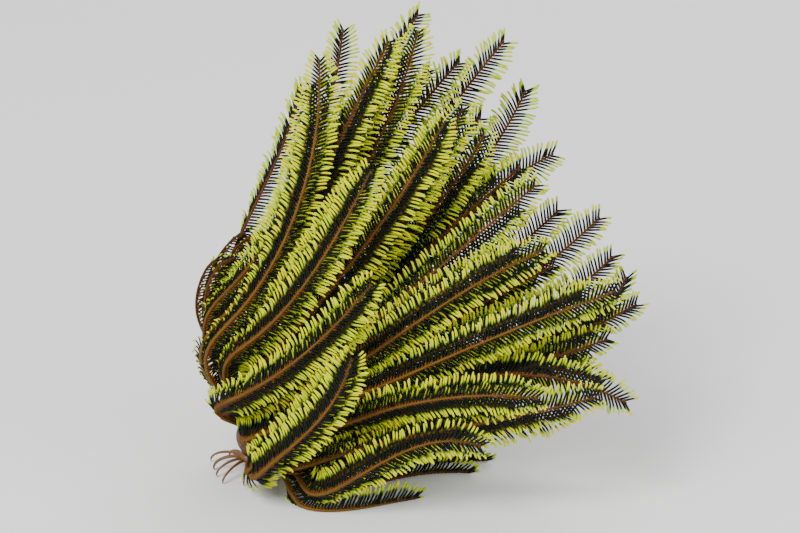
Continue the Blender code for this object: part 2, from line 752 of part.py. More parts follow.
def disc(finish):
    """The soft disc over the cup, with the vent standing near its middle."""
    foot, top = CALYX_TOP + GAP, CALYX_TOP + GAP + DISC_HEIGHT
    rise = [(DISC_RADIUS * math.cos(angle), foot + DISC_RIM + DISC_HEIGHT * math.sin(angle))
            for angle in np.radians(DISC_ARCH)]
    dome = turned("disc", [(DISC_RADIUS * DISC_FOOT_SHARE, foot), *rise], 12, finish)
    vent = turned("vent", [(VENT_RADIUS, top - VENT_SINK), (VENT_RADIUS, top + VENT_HEIGHT * 0.5),
                           (VENT_RADIUS * VENT_TOP_SHARE, top + VENT_HEIGHT)], 8, finish)
    return fused(dome, [vent])


def cirrus(line, finish):
    rings = []
    for number, spot in enumerate(line):
        way = unit(line[min(number + 1, len(line) - 1)] - line[max(number - 1, 0)])
        across = unit(np.cross(way, (0.0, 0.0, 1.0)))
        over = np.cross(across, way)
        radius = CIRRUS_RADIUS * (1 - CIRRUS_TAPER * number / (len(line) - 1))
        ring = [spot + radius * (across * out + over * up)
                for out, up in ((1, 1), (-1, 1), (-1, -1), (1, -1))]
        rings.append([np.array([x, y, max(z, 0.0)]) for x, y, z in ring])
    return mesh_object("cirrus", np.concatenate(rings), skin_between(rings), [finish], line[0])


def centrodorsal(lines, finish):
    """The knob under the cup, with the hooked cirri round it."""
    top = -(CALYX_FOOT + GAP)
    profile = [(KNOB_RADIUS * out, top - KNOB_DEPTH * down) for out, down in KNOB_PROFILE]
    knob = turned("centrodorsal", profile, KNOB_SIDES, finish)
    return fused(knob, [cirrus(line, finish) for line in lines])


def settle_on_floor(star, pieces):
    """Hangs every piece on the star's empty, with the middle of its footprint at the world's origin."""
    corners = np.array([piece.location + vertex.co for piece in pieces for vertex in piece.data.vertices])
    low, high = corners.min(0), corners.max(0)
    star.location = [-(low[0] + high[0]) / 2, -(low[1] + high[1]) / 2, -low[2]]
    for piece in pieces:
        piece.parent = star


def build():
    for old in list(bpy.data.objects):
        bpy.data.objects.remove(old)
    draw = np.random.default_rng(SEED)
    ways = spread_sockets()
    lines = settled([planned_arm(pose, way) for pose, way in zip(ARM_POSES, ways)])
    courses = [Course(line, way, pose.rests) for line, way, pose in zip(lines, ways, ARM_POSES)]
    room = Room(courses)
    hooks = cirri(room, draw)

    rust = material("arm_brown", (0.20, 0.075, 0.02), 0.6)
    dark = material("disc_dark", (0.03, 0.035, 0.02), 0.5)
    star = bpy.data.objects.new("feather_star", None)
    bpy.context.collection.objects.link(star)
    pieces = [calyx(courses, rust), disc(dark), centrodorsal(hooks, rust)]
    for index, course in enumerate(courses):
        pairs = pinnule_pairs(room, index, course, draw)
        pieces.append(arm(f"arm_{index + 1:02d}", course, pairs, rust))
    settle_on_floor(star, pieces)


build()
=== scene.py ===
"""The looks of a bushy feather star: ribbed rusty arms with dark, yellow-tipped pinnules.

The arms' lines follow the same chart of poses as the solids, in a viewing plane (right, up,
away from the viewer), in millimetres. Meshes are made in metres, in the frame's own place.
"""

import logging
import math
from dataclasses import dataclass
from enum import Enum

import bmesh
import bpy
import numpy as np
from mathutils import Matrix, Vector


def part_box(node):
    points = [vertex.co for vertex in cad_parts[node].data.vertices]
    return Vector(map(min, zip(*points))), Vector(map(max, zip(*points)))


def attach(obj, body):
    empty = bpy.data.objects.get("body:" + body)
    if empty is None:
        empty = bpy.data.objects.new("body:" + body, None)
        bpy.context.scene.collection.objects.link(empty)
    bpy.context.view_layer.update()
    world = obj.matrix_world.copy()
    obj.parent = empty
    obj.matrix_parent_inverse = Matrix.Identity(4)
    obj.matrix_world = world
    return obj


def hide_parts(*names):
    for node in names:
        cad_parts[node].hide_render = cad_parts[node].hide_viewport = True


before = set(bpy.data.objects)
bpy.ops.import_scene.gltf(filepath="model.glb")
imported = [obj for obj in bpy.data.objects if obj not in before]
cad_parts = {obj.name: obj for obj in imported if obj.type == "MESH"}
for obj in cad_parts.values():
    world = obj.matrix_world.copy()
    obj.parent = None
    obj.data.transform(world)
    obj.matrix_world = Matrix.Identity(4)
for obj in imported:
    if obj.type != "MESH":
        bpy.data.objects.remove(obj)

logging.basicConfig(level=logging.INFO, format="%(message)s")
log = logging.getLogger("feather_star")

METRES = 0.001
VIEW_DOWN = math.radians(22.0)
GAP = 0.3
SEED = 23

CROWN_HEIGHT = 15.0
CROWN_RADIUS = 11.0
CROWN_LEAN = math.radians(22.0)
REST_HEIGHT = 0.6
FLOOR_CLEARANCE = 3.5
CALYX_TOP = 8.2
CALYX_FOOT = 8.4
ARM_SAMPLES = 30
FINE_SAMPLES = 150
ARMS_IN_A_GROUP = 5
POINTS_BETWEEN = 8
FLOOR_GAP = 0.02
DISC_RADIUS = 4.1
DISC_RIM_HEIGHT = 0.4
YELLOW_MARK = 0.56

Colour = tuple[float, float, float]
Place = tuple[float, float, float]


def on_floor(right: float, up: float) -> Place:
    """A place of the viewing plane with its depth chosen so that it lies on the floor.

    Args:
        right: Millimetres to the right of the crown.
        up: Millimetres above the crown in the viewing plane.

    Returns:
        The place as (right, up, away).
    """
    depth = (CROWN_HEIGHT - REST_HEIGHT + up * math.cos(VIEW_DOWN)) / math.sin(VIEW_DOWN)
    return right, up, depth


@dataclass(frozen=True)
class ArmPose:
    """Where one arm bends and ends, as (right, up, away), and the angles it heads at there."""

    bend: Place
    leaves: float
    tip: Place
    points: float
    rests: bool = False


ARM_POSES = (
    ArmPose((-19.6, 44.0, -12), 120, (-8.0, 71.2, -26), -4),
    ArmPose((-13.5, 66.0, 4), 68, (17.8, 138.0, -22), 76),
    ArmPose((-10.8, 73.0, -6), 55, (3.6, 80.4, -14), -25),
    ArmPose((-16.6, 53.6, -22), 38, (20.4, 123.0, -40), 84),
    ArmPose((-17.6, 39.2, -32), 36, (25.2, 149.0, -52), 94),
    ArmPose((-3.0, 60.0, 4), 66, (34.4, 161.5, -36), 86),
    ArmPose((-9.6, 33.2, -38), 27, (45.6, 105.0, -76), 64),
    ArmPose((-2.4, 24.8, -24), 44, (74.0, 124.0, -60), 62),
    ArmPose((10.0, 24.0, -12), 42, (81.8, 130.0, -40), 62),
    ArmPose((-14.4, 13.4, -40), 19, (45.8, 61.0, -86), 52),
    ArmPose((0.0, -15.4, -40), 46, (38.2, 32.6, -90), 78),
    ArmPose((2.0, 62.0, 2), 62, (20.0, 112.0, -20), 74),
    ArmPose((-1.2, 9.2, -32), 14, (112.8, 74.2, -62), 22),
    ArmPose((6.0, 14.4, -22), 34, (110.0, 99.6, -46), 40),
    ArmPose((-5.6, -1.2, -34), 18, (141.2, 58.0, -55), 18),
    ArmPose((12.0, -3.6, -30), 26, (110.4, 16.6, -76), -8),
    ArmPose((18.0, 4.4, -18), 23, (145.8, 14.2, -48), -31),
    ArmPose((14.0, -14.0, -30), 26, (133.6, 16.8, -60), 15),
    ArmPose((28.8, -21.2, -44), 26, (88.6, -2.2, -62), -24),
    ArmPose(on_floor(27.0, -24.6), 30, on_floor(85.2, -14.6), -14, True),
    ArmPose(on_floor(25.6, -28.8), -12, on_floor(63.4, -24.0), 8, True),
    ArmPose((4.0, 50.0, -4), 64, (35.8, 129.5, -34), 76),
    ArmPose((20.0, 10.0, -10), 34, (117.4, 68.2, -32), 27),
    ArmPose((16.0, 15.0, 2), 34, (136.0, 87.4, -24), 47),
    ArmPose((19.0, 8.0, 2), 27, (141.2, 71.8, -18), 48),
    ArmPose((20.0, 3.0, 8), 20, (147.2, 63.8, -8), 70),
    ArmPose((19.0, 2.0, -8), 18, (150.4, 53.0, -30), 30),
    ArmPose((19.0, -3.0, -16), 16, (138.6, 39.2, -42), 18),
    ArmPose((12.0, 20.0, -8), 42, (104.2, 107.0, -36), 40),
    ArmPose((14.0, 18.0, 6), 42, (118.0, 112.8, -12), 26),
    ArmPose((12.0, 26.0, 12), 48, (107.2, 138.2, -6), 66),
    ArmPose((10.0, 28.0, -4), 50, (90.0, 119.4, -40), 62),
    ArmPose((10.0, 32.0, 8), 56, (98.2, 157.4, -18), 50),
    ArmPose((6.0, 36.0, 4), 58, (80.6, 149.2, -26), 46),
    ArmPose((12.0, 24.0, 14), 50, (89.0, 127.4, -10), 48),
    ArmPose((4.0, 40.0, 10), 66, (64.2, 168.0, -18), 52),
    ArmPose((2.0, 44.0, -6), 58, (63.8, 160.0, -46), 78),
    ArmPose((-2.0, 46.0, -12), 60, (52.6, 156.0, -56), 62),
    ArmPose((8.0, 36.0, 16), 60, (68.2, 146.0, 2), 56),
    ArmPose((16.0, 12.0, 8), 36, (120.2, 90.4, -10), 44),
    ArmPose((4.0, 30.0, 26), 62, (46.0, 122.0, 20), 66),
    ArmPose((12.0, 20.0, 30), 45, (84.0, 98.0, 30), 46),
    ArmPose((16.0, 8.0, 32), 30, (112.0, 62.0, 34), 28),
    ArmPose(on_floor(20.0, -3.0), 6, on_floor(112.0, 5.0), 8, True),
    ArmPose(on_floor(12.0, 3.0), 10, on_floor(78.0, 12.5), 12, True),
    ArmPose((4.0, 16.0, 34), 50, (44.0, 74.0, 54), 52),
    ArmPose(on_floor(24.0, -12.0), 2, on_floor(92.0, -10.0), 2, True),
)


def unit(vector: np.ndarray | list | Place) -> np.ndarray:
    """The same way at length one.

    Args:
        vector: A way, or rows of ways.

    Returns:
        The way or ways, each divided by its length.
    """
    vector = np.asarray(vector, float)
    return vector / np.linalg.norm(vector, axis=-1, keepdims=True)


def upright(points: np.ndarray | Place) -> np.ndarray:
    """Turns ways of the viewing plane into the model frame.

    Args:
        points: Ways as (right, up, away), in rows or alone.

    Returns:
        The same ways as (x, y, z).
    """
    points = np.asarray(points, float)
    down, level = math.sin(VIEW_DOWN), math.cos(VIEW_DOWN)
    right, up, away = points[..., 0], points[..., 1], points[..., 2]
    return np.stack([right, up * down + away * level, up * level - away * down], -1)


def seen(way: np.ndarray) -> np.ndarray:
    """Turns a way of the model frame back into the viewing plane.

    Args:
        way: A way as (x, y, z).

    Returns:
        The same way as (right, up, away).
    """
    x, y, z = way
    down, level = math.sin(VIEW_DOWN), math.cos(VIEW_DOWN)
    return np.array([x, y * down + z * level, y * level - z * down])


MOUTH_WAY = np.array([math.sin(CROWN_LEAN), 0.0, math.cos(CROWN_LEAN)])
BUNDLE_WAY = unit((0.62, 0.66, 0.0))


def bezier(ends: tuple, handles: tuple, share: np.ndarray) -> np.ndarray:
    """Points of a cubic curve.

    Args:
        ends: Its first and last points.
        handles: The two points that pull it.
        share: Places along it from 0 to 1.

    Returns:
        One point for each share.
    """
    start, stop = (np.asarray(end, float) for end in ends)
    first, second = (np.asarray(handle, float) for handle in handles)
    share = share[:, None]
    left = 1 - share
    return (left**3 * start + 3 * left**2 * share * first
            + 3 * left * share**2 * second + share**3 * stop)


def share_of(value: np.ndarray | float, start: float, span: float) -> np.ndarray | float:
    """How far a value has come from a start, as a share of a span, kept between 0 and 1."""
    return np.clip((value - start) / span, 0, 1)


def square_off(ways: np.ndarray, along: np.ndarray) -> np.ndarray:
    """Rows of ways turned square to the ways along a line, at length one."""
    return unit(ways - (ways * along).sum(1)[:, None] * along)


def eased(low: float, high: float, values: np.ndarray) -> np.ndarray:
    """A soft step from 0 to 1.

    Args:
        low: Where it leaves 0.
        high: Where it reaches 1.
        values: Places to read it at.

    Returns:
        The step's height at each place.
    """
    share = share_of(values, low, high - low)
    return share * share * (3 - 2 * share)


def arc_length(points: np.ndarray) -> np.ndarray:
    """The length run at each point of a line.

    Args:
        points: The line's points in order.

    Returns:
        Lengths from its start, one for each point.
    """
    return np.concatenate([[0.0], np.cumsum(np.linalg.norm(np.diff(points, axis=0), axis=1))])


def evened(points: np.ndarray, count: int) -> np.ndarray:
    """The same line with its points at even steps.

    Args:
        points: The line's points in order.
        count: How many points the new line has.

    Returns:
        The new line's points.
    """
    run = arc_length(points)
    where = np.linspace(0, run[-1], count)
    return np.stack([np.interp(where, run, points[:, axis]) for axis in range(3)], 1)


def rounded(points: np.ndarray, count: int) -> np.ndarray:
    """A smooth line through the points, by Catmull and Rom's rule, at even steps.

    Args:
        points: Points that the line goes through.
        count: How many points the new line has.

    Returns:
        The new line's points.
    """
    padded = np.vstack([2 * points[0] - points[1], points, 2 * points[-1] - points[-2]])
    share = np.linspace(0, 1, POINTS_BETWEEN, endpoint=False)[:, None]
    pieces = []
    for before, start, stop, after in zip(padded, padded[1:], padded[2:], padded[3:]):
        pieces.append(0.5 * (2 * start + (stop - before) * share
                             + (2 * before - 5 * start + 4 * stop - after) * share**2
                             + (3 * start - before - 3 * stop + after) * share**3))
    return evened(np.vstack([*pieces, points[-1:]]), count)


@dataclass(frozen=True)
class Sockets:
    """Spreads the arms' roots over the crown, clear of the mouth."""

    spacing: float = 2.9
    from_mouth: float = math.radians(38.0)
    rounds: int = 600
    pulled_rounds: int = 500
    push: float = 0.5
    pull: float = 0.006
    mouth_push: float = 1.6
    own_distance: float = 9.0

    def ways(self) -> np.ndarray:
        """Finds a way out of the crown for each arm, towards its bend.

        Returns:
            The ways in the viewing plane, one row for each arm.
        """
        wanted = np.stack([unit(pose.bend) for pose in ARM_POSES])
        ways = wanted.copy()
        apart = self.spacing / CROWN_RADIUS
        mouth = seen(MOUTH_WAY)
        for turn in range(self.rounds):
            gap = ways[:, None] - ways[None]
            distance = np.linalg.norm(gap, axis=2) + self.own_distance * np.eye(len(ways))
            close = np.clip(apart - distance, 0, None)
            ways = ways + self.push * (gap / distance[..., None] * close[..., None]).sum(1)
            ways += (self.pull if turn < self.pulled_rounds else 0.0) * (wanted - ways)
            excess = np.clip(ways @ mouth - math.cos(self.from_mouth), 0, None)
            ways -= self.mouth_push * excess[:, None] * mouth
            ways /= np.linalg.norm(ways, axis=1)[:, None]
        return ways


@dataclass(frozen=True)
class Planner:
    """Draws each arm's line and eases the arms apart until their feathers have room."""

    depth_bow: float = 0.3
    bow_middle_depth: float = -24.0
    bow_depth_range: float = 30.0
    inner_handles: tuple[float, float] = (0.5, 0.42)
    outer_handles: tuple[float, float] = (0.3, 0.36)
    curve_points: int = 40
    smoothings: int = 4
    rounds: int = 150
    pairs_every: int = 10
    softenings: int = 3
    reach: float = 13.0
    ease_shares: Place = (0.066, 0.066, 0.22)
    return_shares: Place = (0.05, 0.05, 0.002)
    room_at_root: float = 2.6
    room_gained: float = 6.8
    room_grows_from: float = 6.0
    room_grows_over: float = 34.0
    loose_from: float = 10.0
    lift_share: float = 0.5
    laid_from: float = 30.0
    lay_share: float = 0.3

    def planned(self, pose: ArmPose, way: np.ndarray) -> np.ndarray:
        """One arm's line, out of its socket to the bend and on to the tip.

        Args:
            pose: Where the arm bends and ends.
            way: The way out of its socket.

        Returns:
            The line's points in the viewing plane.
        """
        bend, tip = np.array(pose.bend, float), np.array(pose.tip, float)
        root = way * (CROWN_RADIUS + GAP)
        chord = np.linalg.norm(tip - bend)
        reach = np.linalg.norm(bend - root)
        slope = (tip[2] - bend[2]) / np.linalg.norm((tip - bend)[:2])
        spread = float(np.clip((tip[2] - self.bow_middle_depth) / self.bow_depth_range, -1, 1))
        bow = 0.0 if pose.rests else self.depth_bow * spread
        leaves, points = math.radians(pose.leaves), math.radians(pose.points)
        leaving = unit([math.cos(leaves), math.sin(leaves), slope + bow])
        landing = unit([math.cos(points), math.sin(points), slope - bow])
        share = np.linspace(0, 1, self.curve_points)
        inner = bezier((root, bend), (root + way * reach * self.inner_handles[0],
                                      bend - leaving * reach * self.inner_handles[1]), share)
        outer = bezier((bend, tip), (bend + leaving * chord * self.outer_handles[0],
                                     tip - landing * chord * self.outer_handles[1]), share)
        line = evened(np.vstack([inner, outer[1:]]), ARM_SAMPLES)
        for _ in range(self.smoothings):
            line[1:-1] = 0.25 * (line[:-2] + line[2:]) + 0.5 * line[1:-1]
        return evened(line, ARM_SAMPLES)

    def settled(self, arms: list[np.ndarray]) -> np.ndarray:
        """The arms eased apart, mostly in depth, and kept off the floor.

        Args:
            arms: The planned lines.

        Returns:
            The eased lines, one row of points for each arm.
        """
        line = np.stack(arms)
        count, samples, _ = line.shape
        lengths = np.array([arc_length(arm)[-1] for arm in arms])
        along = np.linspace(0, 1, samples)[None] * lengths[:, None]
        grown = np.clip((along - self.room_grows_from) / self.room_grows_over, 0, 1)
        room = (self.room_at_root + self.room_gained * grown).reshape(-1)
        owner = np.repeat(np.arange(count), samples)
        loose = np.clip(along / self.loose_from, 0, 1)[..., None]
        rests = np.array([pose.rests for pose in ARM_POSES])
        lowest = np.where(rests, REST_HEIGHT, FLOOR_CLEARANCE)
        planned = line.copy()
        for turn in range(self.rounds):
            flat = line.reshape(-1, 3)
            if turn % self.pairs_every == 0:
                apart = np.linalg.norm(flat[:, None] - flat[None], axis=2)
                first, second = np.nonzero((apart < self.reach) & (owner[:, None] < owner[None]))
            gap = flat[first] - flat[second]
            distance = np.linalg.norm(gap, axis=1) + 1e-6
            short = np.clip(0.5 * (room[first] + room[second]) - distance, 0, None)
            push = gap * (short / distance)[:, None]
            move = np.zeros_like(flat)
            np.add.at(move, first, push)
            np.add.at(move, second, -push)
            move = move.reshape(line.shape) * self.ease_shares * loose
            for _ in range(self.softenings):
                move[:, 1:-1] = 0.25 * (move[:, :-2] + move[:, 2:]) + 0.5 * move[:, 1:-1]
            back = (planned - line) * self.return_shares * (along / lengths[:, None])[..., None]
            line = line + move + back
            height = CROWN_HEIGHT + upright(line)[..., 2]
            laid = rests[:, None] * np.clip(along / self.laid_from - 1, 0, 1)
            lift = np.clip(lowest[:, None] - height, 0, None) * loose[..., 0] * self.lift_share
            lift -= np.clip(height - REST_HEIGHT, 0, None) * laid * self.lay_share
            line[..., 1] += lift * math.cos(VIEW_DOWN)
            line[..., 2] -= lift * math.sin(VIEW_DOWN)
        return line


@dataclass(frozen=True)
class Forks:
    """Second branches, which leave the front arms near their roots and run close behind them."""

    behind: float = 9.5
    aside: float = 3.8
    parting: tuple[float, float] = (0.03, 0.32)
    kept_share: float = 0.94
    front_depth: float = -3.0

    def branches(self, pose: ArmPose) -> bool:
        """Whether an arm has a second branch."""
        return pose.bend[2] < self.front_depth and not pose.rests

    def line(self, number: int, line: np.ndarray) -> np.ndarray:
        """The line of an arm's second branch.

        Args:
            number: The arm's number, which settles the side that the branch lies on.
            line: The arm's own line in the viewing plane.

        Returns:
            The branch's line, with as many points.
        """
        heading = unit((line[-1] - line[len(line) // 3])[:2])
        aside = self.aside * (-1) ** number
        step = np.array([-heading[1] * aside, heading[0] * aside, self.behind])
        parted = line + eased(*self.parting, np.linspace(0, 1, len(line)))[:, None] * step
        return evened(parted[:round(len(line) * self.kept_share)], len(line))


class Course:
    """One arm's centre line in the model frame, with the ways along it, off its back and sideways."""

    BUNDLE_DEPTH = 26.0
    BUNDLE_REACH_SHARE = 0.9
    BUNDLE_FULL_REACH = 40.0
    BACK_SMOOTHINGS = 60
    FACING_AT_ROOT = 1.0
    FACING_GAINED = 1.7
    RIGHTWARD_FROM = -60.0
    RIGHTWARD_OVER = 120.0
    OPENS_FROM = 5.0
    OPENS_OVER = 10.0
    FRONT_FROM = 12.0
    FRONT_OVER = 20.0

    def __init__(self, line: np.ndarray, way: np.ndarray, pose: ArmPose, crown: np.ndarray) -> None:
        """Works out the arm's ways.

        Args:
            line: The eased line in the viewing plane.
            way: The way out of the arm's socket.
            pose: The arm's pose.
            crown: The crown's middle in the model frame, in millimetres.
        """
        self.rests = pose.rests
        self.depth = pose.tip[2]
        self.rightward = share_of(pose.tip[0] - pose.tip[1], self.RIGHTWARD_FROM, self.RIGHTWARD_OVER)
        self.opens = share_of(pose.tip[0], self.OPENS_FROM, self.OPENS_OVER)
        self.front = share_of(-pose.bend[2], self.FRONT_FROM, self.FRONT_OVER)
        fine = rounded(line, FINE_SAMPLES)
        along = np.gradient(fine, axis=0)
        along[0] = way
        along /= np.linalg.norm(along, axis=1)[:, None]
        reach = np.linalg.norm(fine, axis=1)[:, None]
        middle = BUNDLE_WAY * reach * self.BUNDLE_REACH_SHARE
        middle = middle + np.array([0, 0, self.BUNDLE_DEPTH]) * np.clip(
            reach / self.BUNDLE_FULL_REACH, 0, 1)
        back = fine - middle
        back[:, 2] *= self.FACING_AT_ROOT + self.FACING_GAINED * np.linspace(0, 1, len(fine))
        back = square_off(back, along)
        for _ in range(self.BACK_SMOOTHINGS):
            back[1:-1] = 0.25 * (back[:-2] + back[2:]) + 0.5 * back[1:-1]
            back = square_off(back, along)
        self.points = crown + upright(fine)
        self.along = upright(along)
        self.back = upright(back)
        self.side = np.cross(self.along, self.back)
        self.run = arc_length(self.points)
        self.length = float(self.run[-1])

    def read(self, values: np.ndarray, where: np.ndarray) -> np.ndarray:
        """Rows of values at lengths along the arm.

        Args:
            values: One row for each point of the line.
            where: Lengths along the arm.

        Returns:
            One row for each length.
        """
        return np.stack([np.interp(where, self.run, values[:, axis]) for axis in range(3)], -1)


class Value:
    """A shader value that makes Math nodes from Python's operators."""

    def __init__(self, shading: "Shading", socket: bpy.types.NodeSocket) -> None:
        """Wraps one socket of a material's nodes."""
        self.shading = shading
        self.socket = socket

    def worked(self, operation: str, *terms: "Value | float") -> "Value":
        """One Math node.

        Args:
            operation: The node's operation.
            terms: What goes into it, in order.

        Returns:
            Its result.
        """
        node = self.shading.node("ShaderNodeMath", {"operation": operation}, dict(enumerate(terms)))
        return Value(self.shading, node.outputs[0])

    def __add__(self, other: "Value | float") -> "Value":
        """Adds."""
        return self.worked("ADD", self, other)

    __radd__ = __add__

    def __sub__(self, other: "Value | float") -> "Value":
        """Takes away."""
        return self.worked("SUBTRACT", self, other)

    def __rsub__(self, other: float) -> "Value":
        """Taken away from a number."""
        return self.worked("SUBTRACT", other, self)

    def __mul__(self, other: "Value | float") -> "Value":
        """Multiplies."""
        return self.worked("MULTIPLY", self, other)

    __rmul__ = __mul__

    def sine(self) -> "Value":
        """Its sine."""
        return self.worked("SINE", self)

    def kept(self) -> "Value":
        """Kept between zero and one."""
        return self.worked("MINIMUM", self.worked("MAXIMUM", self, 0.0), 1.0)


class Shading:
    """One material's nodes."""

    def __init__(self, name: str) -> None:
        """Starts a material with a shader and nothing else.

        Args:
            name: The material's name.
        """
        self.material = bpy.data.materials.new(name)
        self.material.use_nodes = True
        self.tree = self.material.node_tree
        self.shader = self.tree.nodes["Principled BSDF"]

    def node(self, kind: str, settings: dict | None = None, inputs: dict | None = None) -> bpy.types.Node:
        """One node with its settings and inputs.

        Args:
            kind: The node's type.
            settings: Its own settings; "stops" gives a ramp's places and colours.
            inputs: Values or links for its sockets, by name or number.

        Returns:
            The node.
        """
        made = self.tree.nodes.new(kind)
        for name, value in (settings or {}).items():
            if name == "stops":
                self.set_stops(made.color_ramp, value)
            else:
                setattr(made, name, value)
        for name, value in (inputs or {}).items():
            self.feed(made.inputs[name], value)
        return made

    @staticmethod
    def set_stops(ramp: bpy.types.ColorRamp, stops: tuple) -> None:
        """Gives a ramp its places and colours.

        Args:
            ramp: The ramp of a node.
            stops: Pairs of place and colour, in order.
        """
        while len(ramp.elements) < len(stops):
            ramp.elements.new(0.5)
        for element, (place, colour) in zip(ramp.elements, stops):
            element.position = place
            element.color = (*colour, 1.0)

    def feed(self, socket: bpy.types.NodeSocket, value: object) -> None:
        """Links or sets one input socket.

        Args:
            socket: The socket to feed.
            value: A Value, a socket, a number or a colour.
        """
        if isinstance(value, Value):
            value = value.socket
        if isinstance(value, bpy.types.NodeSocket):
            self.tree.links.new(value, socket)
        elif isinstance(value, tuple) and len(value) == 3 and socket.type == "RGBA":
            socket.default_value = (*value, 1.0)
        else:
            socket.default_value = value

    def mark(self, name: str) -> Value:
        """A mark that the mesh carries along its paths."""
        made = self.node("ShaderNodeAttribute", {"attribute_name": name})
        return Value(self, made.outputs["Fac"])

    def place(self) -> bpy.types.NodeSocket:
        """The place on the object, in metres."""
        return self.node("ShaderNodeTexCoord").outputs["Object"]

    def noise(self, scale: float, detail: float = 2.0, roughness: float = 0.5) -> Value:
        """Soft mottling over the object.

        Args:
            scale: Spots in a metre.
            detail: How many finer layers it has.
            roughness: How strong the finer layers are.

        Returns:
            Its strength, about one half on average.
        """
        made = self.node("ShaderNodeTexNoise", None, {
            "Vector": self.place(), "Scale": scale, "Detail": detail, "Roughness": roughness})
        return Value(self, made.outputs["Fac"])

    def cells(self, scale: float) -> Value:
        """Distance to the nearest seam between plates of a pattern of cells."""
        made = self.node("ShaderNodeTexVoronoi", {"feature": "DISTANCE_TO_EDGE"}, {
            "Vector": self.place(), "Scale": scale})
        return Value(self, made.outputs["Distance"])

    def ramp(self, share: Value, stops: tuple) -> bpy.types.NodeSocket:
        """Colours read off a ramp."""
        made = self.node("ShaderNodeValToRGB", {"stops": stops}, {"Fac": share})
        return made.outputs["Color"]

    def mix(self, share: Value, first: object, second: object) -> bpy.types.NodeSocket:
        """Two colours mixed.

        Args:
            share: How much there is of the second.
            first: A colour or a socket.
            second: A colour or a socket.

        Returns:
            The mixed colour.
        """
        made = self.node("ShaderNodeMix", {"data_type": "RGBA"}, {0: share.kept(), 6: first, 7: second})
        return made.outputs[2]

    def dress(self, colour: object, roughness: object, height: Value | None = None,
              relief: float = 0.0001, **uniform: float) -> bpy.types.Material:
        """Feeds the shader.

        Args:
            colour: The base colour.
            roughness: The roughness.
            height: What the bump follows, if any.
            relief: The bump's height in metres.
            uniform: Numbers for other sockets, with _ for each space.

        Returns:
            The finished material.
        """
        self.feed(self.shader.inputs["Base Color"], colour)
        self.feed(self.shader.inputs["Roughness"], roughness)
        if height is not None:
            bump = self.node("ShaderNodeBump", None, {
                "Strength": 1.0, "Distance": relief, "Height": height})
            self.feed(self.shader.inputs["Normal"], bump.outputs["Normal"])
        for name, value in uniform.items():
            self.shader.inputs[name.replace("_", " ")].default_value = value
        return self.material


@dataclass(frozen=True)
class PinnuleFinish:
    """Dark pinnules with rusty roots and lemon-yellow ends."""

    root: Colour = (0.13, 0.040, 0.003)
    dark: Colour = (0.0035, 0.0065, 0.0022)
    olive: Colour = (0.10, 0.19, 0.003)
    yellow: Colour = (0.66, 0.64, 0.0)
    pale: Colour = (0.76, 0.73, 0.003)
    # Greener colour for the yellow ends: partly the pinnules' own tint, partly painted shade on the arms
    # further back.
    green: Colour = (0.30, 0.58, 0.004)
    root_share: float = 0.10
    root_fade: float = 0.07
    yellow_from: float = YELLOW_MARK
    dark_to: float = -0.05
    olive_at: float = 0.02
    yellow_at: float = 0.12
    tint_shift: float = 0.12
    wobble: float = 0.10
    green_lead: float = 0.04
    green_gain: float = 9.0
    green_unevenness: float = 0.7
    joints: float = 17.0
    wobble_spots: float = 900.0
    green_spots: float = 160.0
    dull_spots: float = 700.0
    grain: float = 5200.0
    roughness: float = 0.4
    relief: float = 0.00006
    gloss: float = 0.12

    def made(self) -> bpy.types.Material:
        """Builds the finish.

        Returns:
            The material.
        """
        shading = Shading("pinnule_skin")
        along, tint = shading.mark("along"), shading.mark("tint")
        wobble = (shading.noise(self.wobble_spots) - 0.5) * self.wobble
        share = along + wobble + (tint - 0.5) * self.tint_shift
        bands = shading.ramp(share, (
            (0.0, self.root), (self.root_share, self.root), (self.root_share + self.root_fade, self.dark),
            (self.yellow_from + self.dark_to, self.dark), (self.yellow_from + self.olive_at, self.olive),
            (self.yellow_from + self.yellow_at, self.yellow), (1.0, self.pale)))
        # The yellow ends shift to the greener colour by a per-pinnule mark: partly uneven tint, partly
        # painted shade on the arms behind.
        greener_and_shaded = shading.mark("green") + (shading.noise(self.green_spots) - 0.5) * self.green_unevenness
        beyond_dark = ((share - self.yellow_from + self.green_lead) * self.green_gain).kept()
        colour = shading.mix(beyond_dark * greener_and_shaded, bands, self.green)
        rings = (along * (self.joints * 2 * math.pi)).sine()
        height = rings * 0.5 + shading.noise(self.grain) * 0.6
        roughness = shading.noise(self.dull_spots) * 0.2 + self.roughness
        return shading.dress(colour, roughness, height, self.relief, Specular_IOR_Level=self.gloss)


